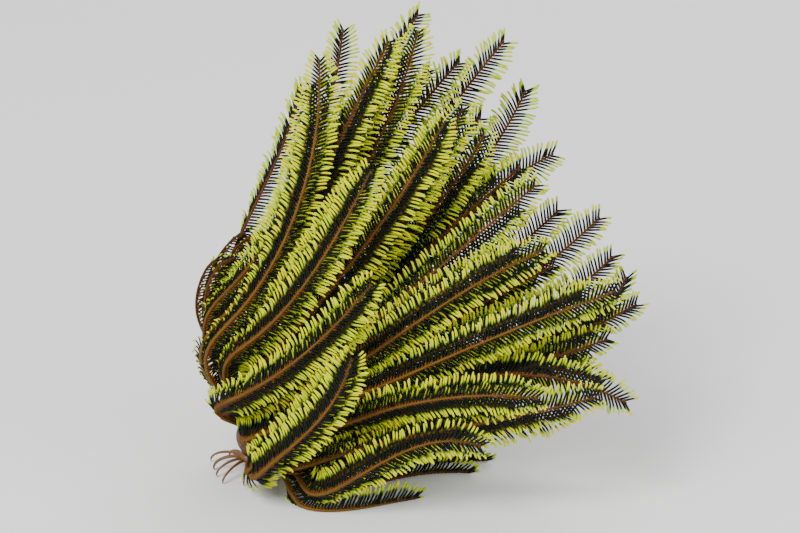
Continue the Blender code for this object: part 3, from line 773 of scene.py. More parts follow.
@dataclass(frozen=True)
class StemFinish:
    """Rusty brown arm bones with darker joints and paler ochre stretches."""

    rust: Colour = (0.125, 0.038, 0.0015)
    ochre: Colour = (0.21, 0.105, 0.004)
    maroon: Colour = (0.065, 0.016, 0.002)
    seam: Colour = (0.020, 0.007, 0.002)
    dark: Colour = (0.010, 0.006, 0.003)
    dark_from: float = 0.80
    warm_from: float = 0.45
    cold_below: float = 0.42
    warm_spots: float = 120.0
    cold_spots: float = 90.0
    specks: float = 2600.0
    dull_spots: float = 900.0
    grain: float = 4200.0
    roughness: float = 0.43
    relief: float = 0.00012
    gloss: float = 0.25

    def made(self) -> bpy.types.Material:
        """Builds the finish.

        Returns:
            The material.
        """
        shading = Shading("arm_bone")
        tint, joint = shading.mark("tint"), shading.mark("joint")
        warm = (tint - self.warm_from) * 1.9 + (shading.noise(self.warm_spots) - 0.5) * 1.1
        cold = (self.cold_below - tint) * 2.6 + (shading.noise(self.cold_spots, 1.0) - 0.5) * 0.9
        colour = shading.mix(warm, self.rust, self.ochre)
        colour = shading.mix(cold, colour, self.maroon)
        speckle = (shading.noise(self.specks, 3.0) - 0.52) * 2.4
        colour = shading.mix(speckle, colour, self.seam)
        colour = shading.mix(joint * 0.8, colour, self.seam)
        colour = shading.mix((shading.mark("along") - self.dark_from) * 3.6, colour, self.dark)
        height = shading.noise(self.grain, 3.0, 0.65)
        roughness = shading.noise(self.dull_spots) * 0.25 + self.roughness
        return shading.dress(colour, roughness, height, self.relief, Specular_IOR_Level=self.gloss)


@dataclass(frozen=True)
class CrownFinish:
    """The cup's plates, rusty with pale mottles and dark seams."""

    rust: Colour = (0.13, 0.038, 0.009)
    pale: Colour = (0.30, 0.17, 0.06)
    seam: Colour = (0.022, 0.009, 0.005)
    plates: float = 420.0
    mottles: float = 380.0
    dull_spots: float = 800.0
    grain: float = 2600.0
    roughness: float = 0.45
    relief: float = 0.0002

    def made(self) -> bpy.types.Material:
        """Builds the finish.

        Returns:
            The material.
        """
        shading = Shading("cup_plates")
        seams = (1.0 - shading.cells(self.plates) * 9.0).kept()
        colour = shading.mix((shading.noise(self.mottles, 3.0) - 0.5) * 2.6, self.rust, self.pale)
        colour = shading.mix(seams * 0.85, colour, self.seam)
        height = shading.noise(self.grain, 3.0, 0.6) - seams * 0.8
        roughness = shading.noise(self.dull_spots) * 0.25 + self.roughness
        return shading.dress(colour, roughness, height, self.relief)


@dataclass(frozen=True)
class DiscFinish:
    """Soft dark leathery skin about the mouth, mottled olive, with a warty bump."""

    dark: Colour = (0.012, 0.016, 0.007)
    olive: Colour = (0.085, 0.088, 0.018)
    warts: float = 1500.0
    mottles: float = 700.0
    dull_spots: float = 900.0
    grain: float = 3200.0
    roughness: float = 0.34
    relief: float = 0.00018

    def made(self) -> bpy.types.Material:
        """Builds the finish.

        Returns:
            The material.
        """
        shading = Shading("mouth_skin")
        warts = (0.30 - shading.cells(self.warts)).kept() * 2.0
        colour = shading.mix((shading.noise(self.mottles, 3.0) - 0.46) * 2.4, self.dark, self.olive)
        height = shading.noise(self.grain, 3.0, 0.6) - warts * 0.4
        roughness = shading.noise(self.dull_spots) * 0.2 + self.roughness
        return shading.dress(colour, roughness, height, self.relief)


@dataclass(frozen=True)
class HookFinish:
    """Glossy ochre hooks with darker joints and claws."""

    ochre: Colour = (0.19, 0.085, 0.014)
    rust: Colour = (0.09, 0.028, 0.006)
    claw: Colour = (0.045, 0.016, 0.008)
    claw_from: float = 0.86
    mottles: float = 500.0
    dull_spots: float = 900.0
    grain: float = 3800.0
    roughness: float = 0.3
    relief: float = 0.00008

    def made(self) -> bpy.types.Material:
        """Builds the finish.

        Returns:
            The material.
        """
        shading = Shading("hook_bone")
        along, joint = shading.mark("along"), shading.mark("joint")
        colour = shading.mix((shading.noise(self.mottles, 3.0) - 0.4) * 2.2, self.ochre, self.rust)
        colour = shading.mix((along - self.claw_from) * 9.0, colour, self.claw)
        colour = shading.mix(joint * 0.7, colour, self.claw)
        height = shading.noise(self.grain, 3.0, 0.6)
        roughness = shading.noise(self.dull_spots) * 0.2 + self.roughness
        return shading.dress(colour, roughness, height, self.relief)


@dataclass
class Strands:
    """Paths to be given thickness: their points, thickness and marks, one path after another."""

    points: np.ndarray
    thickness: np.ndarray
    counts: np.ndarray
    marks: dict[str, np.ndarray]

    @staticmethod
    def joined(parts: list["Strands"]) -> "Strands":
        """Several sets of paths as one.

        Args:
            parts: The sets, with the same marks.

        Returns:
            The one set.
        """
        return Strands(
            np.concatenate([part.points for part in parts]),
            np.concatenate([part.thickness for part in parts]),
            np.concatenate([part.counts for part in parts]),
            {name: np.concatenate([part.marks[name] for part in parts]) for name in parts[0].marks})

    def carrier(self, name: str) -> bpy.types.Object:
        """A mesh of edges along the paths that carries their thickness and marks.

        Args:
            name: The object's name.

        Returns:
            The object, in metres.
        """
        mesh = bpy.data.meshes.new(name)
        mesh.vertices.add(len(self.points))
        mesh.vertices.foreach_set("co", (self.points * METRES).ravel())
        inner = np.ones(len(self.points), bool)
        inner[np.cumsum(self.counts) - 1] = False
        starts = np.nonzero(inner)[0]
        mesh.edges.add(len(starts))
        mesh.edges.foreach_set("vertices", np.stack([starts, starts + 1], 1).ravel())
        for mark, values in {"thickness": self.thickness * METRES, **self.marks}.items():
            mesh.attributes.new(mark, "FLOAT", "POINT").data.foreach_set("value", values)
        made = bpy.data.objects.new(name, mesh)
        bpy.context.scene.collection.objects.link(made)
        return made


class Sweep:
    """Geometry Nodes that give thickness to paths: a ring of few sides carried along each."""

    def __init__(self) -> None:
        """Builds the tree."""
        self.tree = bpy.data.node_groups.new("swept_paths", "GeometryNodeTree")
        face = self.tree.interface
        face.new_socket("Paths", in_out="INPUT", socket_type="NodeSocketGeometry")
        self.sides = face.new_socket("Sides", in_out="INPUT", socket_type="NodeSocketInt")
        self.finish = face.new_socket("Finish", in_out="INPUT", socket_type="NodeSocketMaterial")
        face.new_socket("Mesh", in_out="OUTPUT", socket_type="NodeSocketGeometry")
        given, result = self.add("NodeGroupInput"), self.add("NodeGroupOutput")
        curve = self.add("GeometryNodeMeshToCurve", Mesh=given.outputs["Paths"])
        width = self.add("GeometryNodeInputNamedAttribute", Name="thickness")
        ring = self.add("GeometryNodeCurvePrimitiveCircle", Resolution=given.outputs["Sides"], Radius=1.0)
        turn = self.add("GeometryNodeSplineParameter")
        marked = self.add("GeometryNodeStoreNamedAttribute", Geometry=ring.outputs[0], Name="around",
                          Value=turn.outputs["Factor"])
        swept = self.add("GeometryNodeCurveToMesh", Curve=curve.outputs[0], Scale=width.outputs[0],
                         **{"Profile Curve": marked.outputs[0], "Fill Caps": True})
        smooth = self.add("GeometryNodeSetShadeSmooth", Geometry=swept.outputs[0])
        real = self.add("GeometryNodeRealizeInstances", Geometry=smooth.outputs[0])
        dressed = self.add("GeometryNodeSetMaterial", Geometry=real.outputs[0],
                           Material=given.outputs["Finish"])
        self.tree.links.new(dressed.outputs[0], result.inputs[0])

    def add(self, kind: str, **inputs: object) -> bpy.types.Node:
        """One node of the tree with its inputs.

        Args:
            kind: The node's type.
            inputs: Values or links for its sockets, by name.

        Returns:
            The node.
        """
        node = self.tree.nodes.new(kind)
        for name, value in inputs.items():
            socket = node.inputs[name]
            if isinstance(value, bpy.types.NodeSocket):
                self.tree.links.new(value, socket)
            else:
                socket.default_value = value
        return node

    def mesh(self, name: str, strands: Strands, sides: int, finish: bpy.types.Material,
             turn_height: float) -> bpy.types.Object:
        """A plain mesh swept along paths, with its bake map.

        Args:
            name: The piece's name.
            strands: The paths.
            sides: Sides of the ring that is carried along them.
            finish: The material.
            turn_height: Height on the map of one turn about a path.

        Returns:
            The piece.
        """
        carrier = strands.carrier(name + "_paths")
        sweep = carrier.modifiers.new("sweep", "NODES")
        sweep.node_group = self.tree
        sweep[self.sides.identifier] = sides
        sweep[self.finish.identifier] = finish
        bpy.context.view_layer.update()
        evaluated = carrier.evaluated_get(bpy.context.evaluated_depsgraph_get())
        mesh = bpy.data.meshes.new_from_object(evaluated)
        mesh.name = name
        carrier.modifiers.remove(sweep)
        bpy.data.objects.remove(carrier)
        self.map_for_baking(mesh, turn_height)
        made = bpy.data.objects.new(name, mesh)
        bpy.context.scene.collection.objects.link(made)
        return made

    @staticmethod
    def map_for_baking(mesh: bpy.types.Mesh, turn_height: float) -> None:
        """Lays each path's skin on the bake map, at the place that its marks give.

        Args:
            mesh: The swept mesh, with the marks chart_u, chart_v and around.
            turn_height: Height on the map of one turn about a path.
        """
        def mark(name: str) -> np.ndarray:
            """One mark at every corner of the mesh.

            Args:
                name: The mark's name.

            Returns:
                Its value at each corner.
            """
            values = np.zeros(len(mesh.vertices), np.float32)
            mesh.attributes[name].data.foreach_get("value", values)
            return values[corners]

        corners = np.zeros(len(mesh.loops), np.int32)
        mesh.loops.foreach_get("vertex_index", corners)
        starts = np.zeros(len(mesh.polygons), np.int32)
        mesh.polygons.foreach_get("loop_start", starts)
        sizes = np.diff(np.append(starts, len(corners)))
        around = mark("around")
        wide = np.maximum.reduceat(around, starts) - np.minimum.reduceat(around, starts) > 0.5
        around = around + (np.repeat(wide, sizes) & (around < 0.5))
        spots = np.stack([mark("chart_u"), mark("chart_v") + turn_height * around], 1)
        chart = mesh.uv_layers.new(name="OFBake")
        chart.data.foreach_set("uv", spots.astype(np.float32).ravel())
        for name in ("chart_u", "chart_v", "around", "thickness"):
            if name in mesh.attributes:
                mesh.attributes.remove(mesh.attributes[name])


@dataclass
class ArmGroup:
    """Some neighbouring arms, dressed together: their bones as one piece, their pinnules as another."""

    number: int
    nodes: list[str]
    courses: list[Course]
    draw: np.random.Generator
    tint_range: float = 0.30
    tint_shape: float = 2.2
    tint_base: float = 0.14
    tint_at_front: float = 0.56
    root_sink: float = 2.2
    root_spacing: float = 1.22
    tip_spacing: float = 1.50
    end_gap: float = 0.2
    bare_length: float = 3.0
    bone_swell: Place = (-0.9, 0.35, 1.0)
    bone_seam: Place = (1.0, 0.1, 0.0)
    bone_sides: int = 6
    bone_relief: float = 0.16
    relief_at_root: float = 0.3
    relief_grows_over: float = 6.0
    end_swell: float = -3.0
    end_thickness: float = 0.12
    root_half_width: float = 0.90
    tip_half_width: float = 0.34
    taper: float = 0.8
    root_across: float = 0.55
    root_forward: float = 0.30
    pinnule_length: float = 10.4
    length_at_root: float = 0.66
    length_gained: float = 3.2
    length_lost: float = 0.14
    length_at_end: float = 0.60
    end_growth: float = 0.7
    length_spread: float = 0.10
    pinnule_radius: float = 0.55
    root_thickness: float = 0.74
    pinnule_steps: tuple[float, ...] = (0.0, 0.06, 0.16, 0.32, 0.47, 0.60, 0.72, 0.84, 0.94, 1.0)
    pinnule_swell: tuple[float, ...] = (1.0, 0.96, 0.88, 0.80, 0.74, 0.74, 0.80, 0.84, 0.76, 0.40)
    pinnule_sides: int = 5
    dark_share_at_root: float = 0.60
    dark_share_at_top: float = 0.47
    dark_share_at_right: float = 0.66
    short_end: float = 12.0
    opens_between: tuple[float, float] = (0.22, 0.70)
    root_folds: tuple[float, float] = (math.radians(40.0), math.radians(46.0))
    side_fold: float = math.radians(14.0)
    open_folds: tuple[float, float] = (math.radians(20.0), math.radians(4.0))
    resting_fold: float = 0.5
    fold_spreads: tuple[float, float] = (0.08, 0.16)
    fold_growth: float = 1.6
    first_lean: float = math.radians(30.0)
    root_last_lean: float = math.radians(-50.0)
    open_last_lean: float = math.radians(10.0)
    end_lean: float = math.radians(42.0)
    lean_spreads: tuple[float, float] = (0.05, 0.15)
    lean_growth: float = 2.0
    clump: float = 0.09
    clump_lean: float = 1.4
    clump_waves: tuple[float, float] = (3.1, 1.37)
    clump_shift: float = 1.3
    clump_phases: float = 6.3
    root_mark: float = 0.12
    open_mark: float = 0.10
    pinnule_tint_spread: float = 0.22
    pinnule_tint_from_arm: float = 0.2
    # How much the yellow ends turn greener: a base and random spread of the pinnules' own tint, plus
    # painted shade rising on the arms further back.
    green_base: float = 0.24
    shade_green_behind: float = 0.6
    shade_depths: tuple[float, float] = (-60.0, 110.0)
    green_lost: float = 0.1
    green_spread: float = 0.15
    patch: float = 0.003
    stem_band: float = 0.4
    patch_from_stem: float = 0.34
    chart_start: float = 0.01
    chart_span: float = 0.98

    def bone_places(self, course: Course) -> np.ndarray:
        """Lengths along an arm where its bones meet, closer near the root.

        Args:
            course: The arm's line.

        Returns:
            The lengths, from its root to just before its tip.
        """
        places = [0.0]
        while places[-1] < course.length - self.end_gap:
            gained = (self.tip_spacing - self.root_spacing) * (places[-1] / course.length)
            places.append(places[-1] + 0.5 * (self.root_spacing + gained))
        return np.array(places[:-1])

    def half_width(self, course: Course, where: np.ndarray) -> np.ndarray:
        """Half the stem's width at lengths along an arm, in millimetres."""
        share = np.clip(where / course.length, 0.0, 1.0)
        return self.root_half_width + (self.tip_half_width - self.root_half_width) * share**self.taper

    def stem(self, band: int, course: Course, tint: float) -> Strands:
        """One arm's bones as a ribbed path.

        Args:
            band: Which band of the bake map it takes.
            course: The arm's line.
            tint: Its colour mark.

        Returns:
            The path.
        """
        places = self.bone_places(course)
        steps = np.diff(np.append(places, course.length))
        rings = len(self.bone_swell)
        where = (places[:, None] + steps[:, None] * (np.arange(rings) / rings)).ravel()
        where = np.concatenate([[-self.root_sink], where, [course.length]])
        swell = np.concatenate([[0.0], np.tile(self.bone_swell, len(places)), [self.end_swell]])
        joint = np.concatenate([[1.0], np.tile(self.bone_seam, len(places)), [0.0]])
        points = course.read(course.points, where)
        points[0] = course.points[0] - course.along[0] * self.root_sink
        grown = np.clip(where / self.relief_grows_over + self.relief_at_root, self.relief_at_root, 1)
        thickness = self.half_width(course, where) * (1 + self.bone_relief * swell * grown)
        thickness[-1] = self.end_thickness
        points[:, 2] = np.maximum(points[:, 2], thickness + FLOOR_GAP)
        width = 1 / len(self.courses)
        count = len(where)
        share = np.clip(where / course.length, 0, 1)
        return Strands(points, thickness, np.array([count]), {
            "along": share, "joint": joint, "tint": np.full(count, tint), "green": np.zeros(count),
            "chart_u": self.chart_start + self.chart_span * share,
            "chart_v": np.full(count, (band + 0.5 * (1 - self.stem_band)) * width)})

    def lengths(self, share: np.ndarray, near_tip: np.ndarray) -> np.ndarray:
        """The pinnules' lengths: short at the arm's root and tip, and a little uneven.

        Args:
            share: How far along the arm each pinnule stands.
            near_tip: 1 along the arm, falling to 0 at its very tip.

        Returns:
            Lengths in millimetres.
        """
        length = self.pinnule_length * np.clip(self.length_at_root + share * self.length_gained, 0, 1)
        length = length * (1 - self.length_lost * share)
        length = length * (self.length_at_end + (1 - self.length_at_end) * near_tip**self.end_growth)
        return length * self.draw.uniform(1 - self.length_spread, 1 + self.length_spread, len(share))

    def clumps(self, where: np.ndarray, side: np.ndarray) -> np.ndarray:
        """How far the pinnules turn together with their neighbours, by two slow waves.

        Args:
            where: Lengths along the arm.
            side: 1 or -1 for the row that each pinnule stands in.

        Returns:
            Angles in radians.
        """
        slow, quick = self.clump_waves
        wave = np.sin(where / slow + self.draw.uniform(0, self.clump_phases))
        wave += np.sin(where / quick + side * self.clump_shift + self.draw.uniform(0, self.clump_phases))
        return wave * self.clump

    def pinnules(self, band: int, course: Course, tint: float) -> Strands:
        """One arm's two rows of pinnules, alternating, each a curved tapering path.

        Args:
            band: Which band of the bake map they take.
            course: The arm's line.
            tint: The arm's colour mark.

        Returns:
            The paths.
        """
        draw = self.draw
        places = self.bone_places(course)
        where = places[places > self.bare_length]
        count = len(where)
        side = np.where(np.arange(count) % 2 == 0, 1.0, -1.0)
        share = where / course.length
        along, back = unit(course.read(course.along, where)), unit(course.read(course.back, where))
        across = unit(course.read(course.side, where)) * side[:, None]
        root = across * self.root_across - back * self.root_forward
        root = course.read(course.points, where) + root * self.half_width(course, where)[:, None]

        near_tip = np.clip((course.length - where) / self.short_end, 0, 1)
        opened = eased(*self.opens_between, share) * course.opens
        length = self.lengths(share, near_tip)
        clump = self.clumps(where, side)
        fold_start, fold_stop = ((1 - opened) * close + opened * wide
                                 for close, wide in zip(self.root_folds, self.open_folds))
        closed = self.side_fold * (1 - course.front) * (1 - opened)
        fold_start = fold_start + closed + draw.normal(0, self.fold_spreads[0], count)
        fold_stop = fold_stop + closed + draw.normal(0, self.fold_spreads[1], count) + clump
        lean_start = self.first_lean + draw.normal(0, self.lean_spreads[0], count)
        lean_start = lean_start + self.end_lean * 0.5 * (1 - near_tip)
        lean_stop = self.root_last_lean + (self.open_last_lean - self.root_last_lean) * opened
        lean_stop = lean_stop + draw.normal(0, self.lean_spreads[1], count)
        lean_stop = lean_stop + clump * self.clump_lean + self.end_lean * (1 - near_tip)
        if course.rests:
            fold_start = fold_start * self.resting_fold
        step = np.array(self.pinnule_steps)
        points = np.empty((count, len(step), 3))
        points[:, 0] = root
        for number in range(1, len(step)):
            middle = 0.5 * (step[number] + step[number - 1])
            fold = fold_start + (fold_stop - fold_start) * middle**self.fold_growth
            lean = lean_start + (lean_stop - lean_start) * middle**self.lean_growth
            out = across * np.cos(fold)[:, None] - back * np.sin(fold)[:, None]
            way = out * np.cos(lean)[:, None] + along * np.sin(lean)[:, None]
            stride = length * (step[number] - step[number - 1])
            points[:, number] = points[:, number - 1] + way * stride[:, None]
        size = self.pinnule_radius * (self.root_thickness + (1 - self.root_thickness) * opened)
        thickness = size[:, None] * np.array(self.pinnule_swell)
        points[..., 2] = np.maximum(points[..., 2], thickness + FLOOR_GAP)

        width = 1 / len(self.courses)
        tints = 0.5 + draw.normal(0, self.pinnule_tint_spread, count)
        tints = np.clip(tints + (tint - 0.5) * self.pinnule_tint_from_arm, 0, 1)
        patches = (band + 0.5 + side * self.patch_from_stem) * width - 0.5 * self.patch
        chart_u = self.chart_start + self.chart_span * share[:, None] + self.patch * (step - 0.5)
        marks = {
            "along": self.banded(course, share, opened),
            "joint": np.zeros(count * len(step)),
            "tint": np.repeat(tints, len(step)),
            "green": np.repeat(self.green_and_shade_marks(course, share), len(step)),
            "chart_u": chart_u.ravel(),
            "chart_v": np.repeat(patches, len(step)),
        }
        return Strands(points.reshape(-1, 3), thickness.ravel(), np.full(count, len(step)), marks)

    def banded(self, course: Course, share: np.ndarray, opened: np.ndarray) -> np.ndarray:
        """The marks along the pinnules, which reach YELLOW_MARK where each turns yellow.

        Args:
            course: The arm's line.
            share: How far along the arm each pinnule stands.
            opened: How open its row is there.

        Returns:
            One mark for each point of each pinnule.
        """
        rightward = (self.dark_share_at_right - self.dark_share_at_top) * course.rightward
        dark_end = self.dark_share_at_top + rightward
        dark = self.dark_share_at_root + (dark_end - self.dark_share_at_root) * share**2
        step, root = np.array(self.pinnule_steps), self.root_mark
        return np.concatenate([
            np.interp(step, (0, root, end, 1), (low, root + low * 0.5, YELLOW_MARK, 1))
            for end, low in zip(dark, self.open_mark * opened)])

    def green_and_shade_marks(self, course: Course, share: np.ndarray) -> np.ndarray:
        """How far the yellow of each pinnule turns towards the greener colour: partly its own uneven tint,
        partly painted shade that is strongest on the arms behind, and more near the root.

        Args:
            course: The arm's line.
            share: How far along the arm each pinnule stands.

        Returns:
            Marks from 0 to 1.
        """
        # Painted shade: the further back an arm lies, the greener its yellow ends.
        green = share_of(course.depth, *self.shade_depths) * self.shade_green_behind + self.green_base
        spread = self.draw.normal(0, self.green_spread, len(share))
        return np.clip(green - share * self.green_lost + spread, 0, 1)

    def build(self, sweep: Sweep, bone: bpy.types.Material, skin: bpy.types.Material) -> None:
        """Makes both pieces, attaches them to the root and hides the solid arms that they replace.

        Args:
            sweep: The tree that gives paths thickness.
            bone: The stems' material.
            skin: The pinnules' material.
        """
        stems, feathers = [], []
        for band, course in enumerate(self.courses):
            drawn = self.tint_range * self.draw.beta(self.tint_shape, self.tint_shape)
            tint = drawn + self.tint_base + self.tint_at_front * course.front
            stems.append(self.stem(band, course, tint))
            feathers.append(self.pinnules(band, course, tint))
        width = 1 / len(self.courses)
        bones = sweep.mesh(f"arm_bones_{self.number}", Strands.joined(stems), self.bone_sides, bone,
                           self.stem_band * width)
        coat = sweep.mesh(f"pinnules_{self.number}", Strands.joined(feathers), self.pinnule_sides, skin,
                          self.patch)
        for piece in (bones, coat):
            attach(piece, "root")
            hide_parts(*self.nodes)
            log.info("%s: %d faces", piece.name, len(piece.data.polygons))


def mesh_piece(name: str, points: np.ndarray, faces: list, finish: bpy.types.Material) -> bpy.types.Object:
    """A smooth piece from points in millimetres of the model frame, with its faces turned outwards.

    Args:
        name: The piece's name.
        points: Its corners.
        faces: Its faces as numbers of corners.
        finish: Its material.

    Returns:
        The piece.
    """
    mesh = bpy.data.meshes.new(name)
    mesh.from_pydata([tuple(map(float, point)) for point in np.asarray(points) * METRES], [], faces)
    shape = bmesh.new()
    shape.from_mesh(mesh)
    bmesh.ops.recalc_face_normals(shape, faces=shape.faces)
    shape.to_mesh(mesh)
    shape.free()
    mesh.shade_smooth()
    mesh.materials.append(finish)
    made = bpy.data.objects.new(name, mesh)
    bpy.context.scene.collection.objects.link(made)
    return made


def square_to(way: np.ndarray) -> tuple[np.ndarray, np.ndarray]:
    """Two ways square to one and to each other."""
    across = unit(np.cross(way, (0.0, 1.0, 0.0) if abs(way[1]) < 0.9 else (1.0, 0.0, 0.0)))
    return across, np.cross(way, across)


@dataclass
class Cup:
    """The crown's cup: a ball of plates with a boss that runs out into each arm."""

    crown: np.ndarray
    courses: list[Course]
    valleys: float = 8.8
    boss_height: float = 2.5
    boss_spread: float = 0.115
    divisions: int = 6
    cut_from: float = 0.3

    def build(self, finish: bpy.types.Material) -> None:
        """Makes the piece in place of the solid cup.

        Args:
            finish: The material.
        """
        shape = bmesh.new()
        bmesh.ops.create_icosphere(shape, subdivisions=self.divisions, radius=1.0)
        ways = unit(np.array([tuple(corner.co) for corner in shape.verts]))
        faces = [tuple(corner.index for corner in face.verts) for face in shape.faces]
        shape.free()
        sockets = unit(np.stack([course.along[0] for course in self.courses]))
        angle = np.arccos(np.clip(ways @ sockets.T, -1, 1))
        bosses = np.exp(-(angle / self.boss_spread) ** 2).max(1)
        radius = self.valleys + self.boss_height * bosses
        height = ways @ MOUTH_WAY
        for end, level in ((CALYX_TOP, height), (CALYX_FOOT, -height)):
            cut = end / np.maximum(level, self.cut_from)
            radius = np.minimum(radius, np.where(level > self.cut_from, cut, radius))
        cup = mesh_piece("cup", self.crown + ways * radius[:, None], faces, finish)
        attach(cup, "root")
        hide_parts("calyx")
        log.info("cup: %d faces", len(faces))


@dataclass
class MouthDisc:
    """The soft disc over the cup, with food grooves, and the vent's tube with a lobed rim."""

    crown: np.ndarray
    radius: float = DISC_RADIUS
    rise: float = 2.8
    groove_depth: float = 0.35
    grooves: int = 5
    rings: int = 22
    turns: int = 90
    vent_radius: float = 1.05
    vent_height: float = 2.5
    vent_lobes: int = 7
    vent_from: float = 0.72
    vent_foot: float = 0.97
    vent_taper: float = 0.25
    lobe_depth: float = 0.10
    lip_from: float = 0.6
    inner_radius: float = 0.85
    inner_depth: float = 0.45
    last_radius: float = 0.02

    def surface(self, share: float, turn: float) -> tuple[float, float]:
        """The disc and its vent, from the rim inwards.

        Args:
            share: How far in from the rim, from 0 to 1.
            turn: The angle about the middle.

        Returns:
            The radius and height there.
        """
        if share < self.vent_from:
            inward = share / self.vent_from
            radius = self.radius + (self.vent_radius - self.radius) * inward
            height = self.rise * math.sin(math.acos(min(1.0, radius / self.radius * 0.999)))
            groove = abs(math.cos(0.5 * self.grooves * turn)) ** 10
            return radius, height - self.groove_depth * groove * math.sin(math.pi * inward)
        up = (share - self.vent_from) / (1 - self.vent_from)
        lobes = 1 + self.lobe_depth * math.cos(self.vent_lobes * turn) * up
        foot = self.rise * self.vent_foot
        if up < self.lip_from:
            radius = self.vent_radius * (1 - self.vent_taper * up) * lobes
            return radius, foot + self.vent_height * up / self.lip_from
        inside = (up - self.lip_from) / (1 - self.lip_from)
        radius = self.vent_radius * self.inner_radius * (1 - inside) * lobes + self.last_radius
        return radius, foot + self.vent_height * (1 - self.inner_depth * inside**2)

    def build(self, finish: bpy.types.Material) -> None:
        """Makes the piece in place of the solid disc.

        Args:
            finish: The material.
        """
        across, other = square_to(MOUTH_WAY)
        foot = CALYX_TOP + GAP
        points = []
        for ring in range(self.rings + 1):
            for step in range(self.turns):
                turn = 2 * math.pi * step / self.turns
                radius, height = self.surface(ring / self.rings, turn)
                way = across * math.cos(turn) + other * math.sin(turn)
                points.append(self.crown + MOUTH_WAY * (foot + max(height, 0.0)) + way * radius)
        faces = [(ring * self.turns + step, ring * self.turns + (step + 1) % self.turns,
                  (ring + 1) * self.turns + (step + 1) % self.turns, (ring + 1) * self.turns + step)
                 for ring in range(self.rings) for step in range(self.turns)]
        faces.append(tuple(range(self.turns)))
        faces.append(tuple(self.rings * self.turns + step for step in range(self.turns)))
        disc = mesh_piece("mouth_disc", np.array(points), faces, finish)
        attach(disc, "root")
        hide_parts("disc")
        log.info("mouth_disc: %d faces", len(faces))


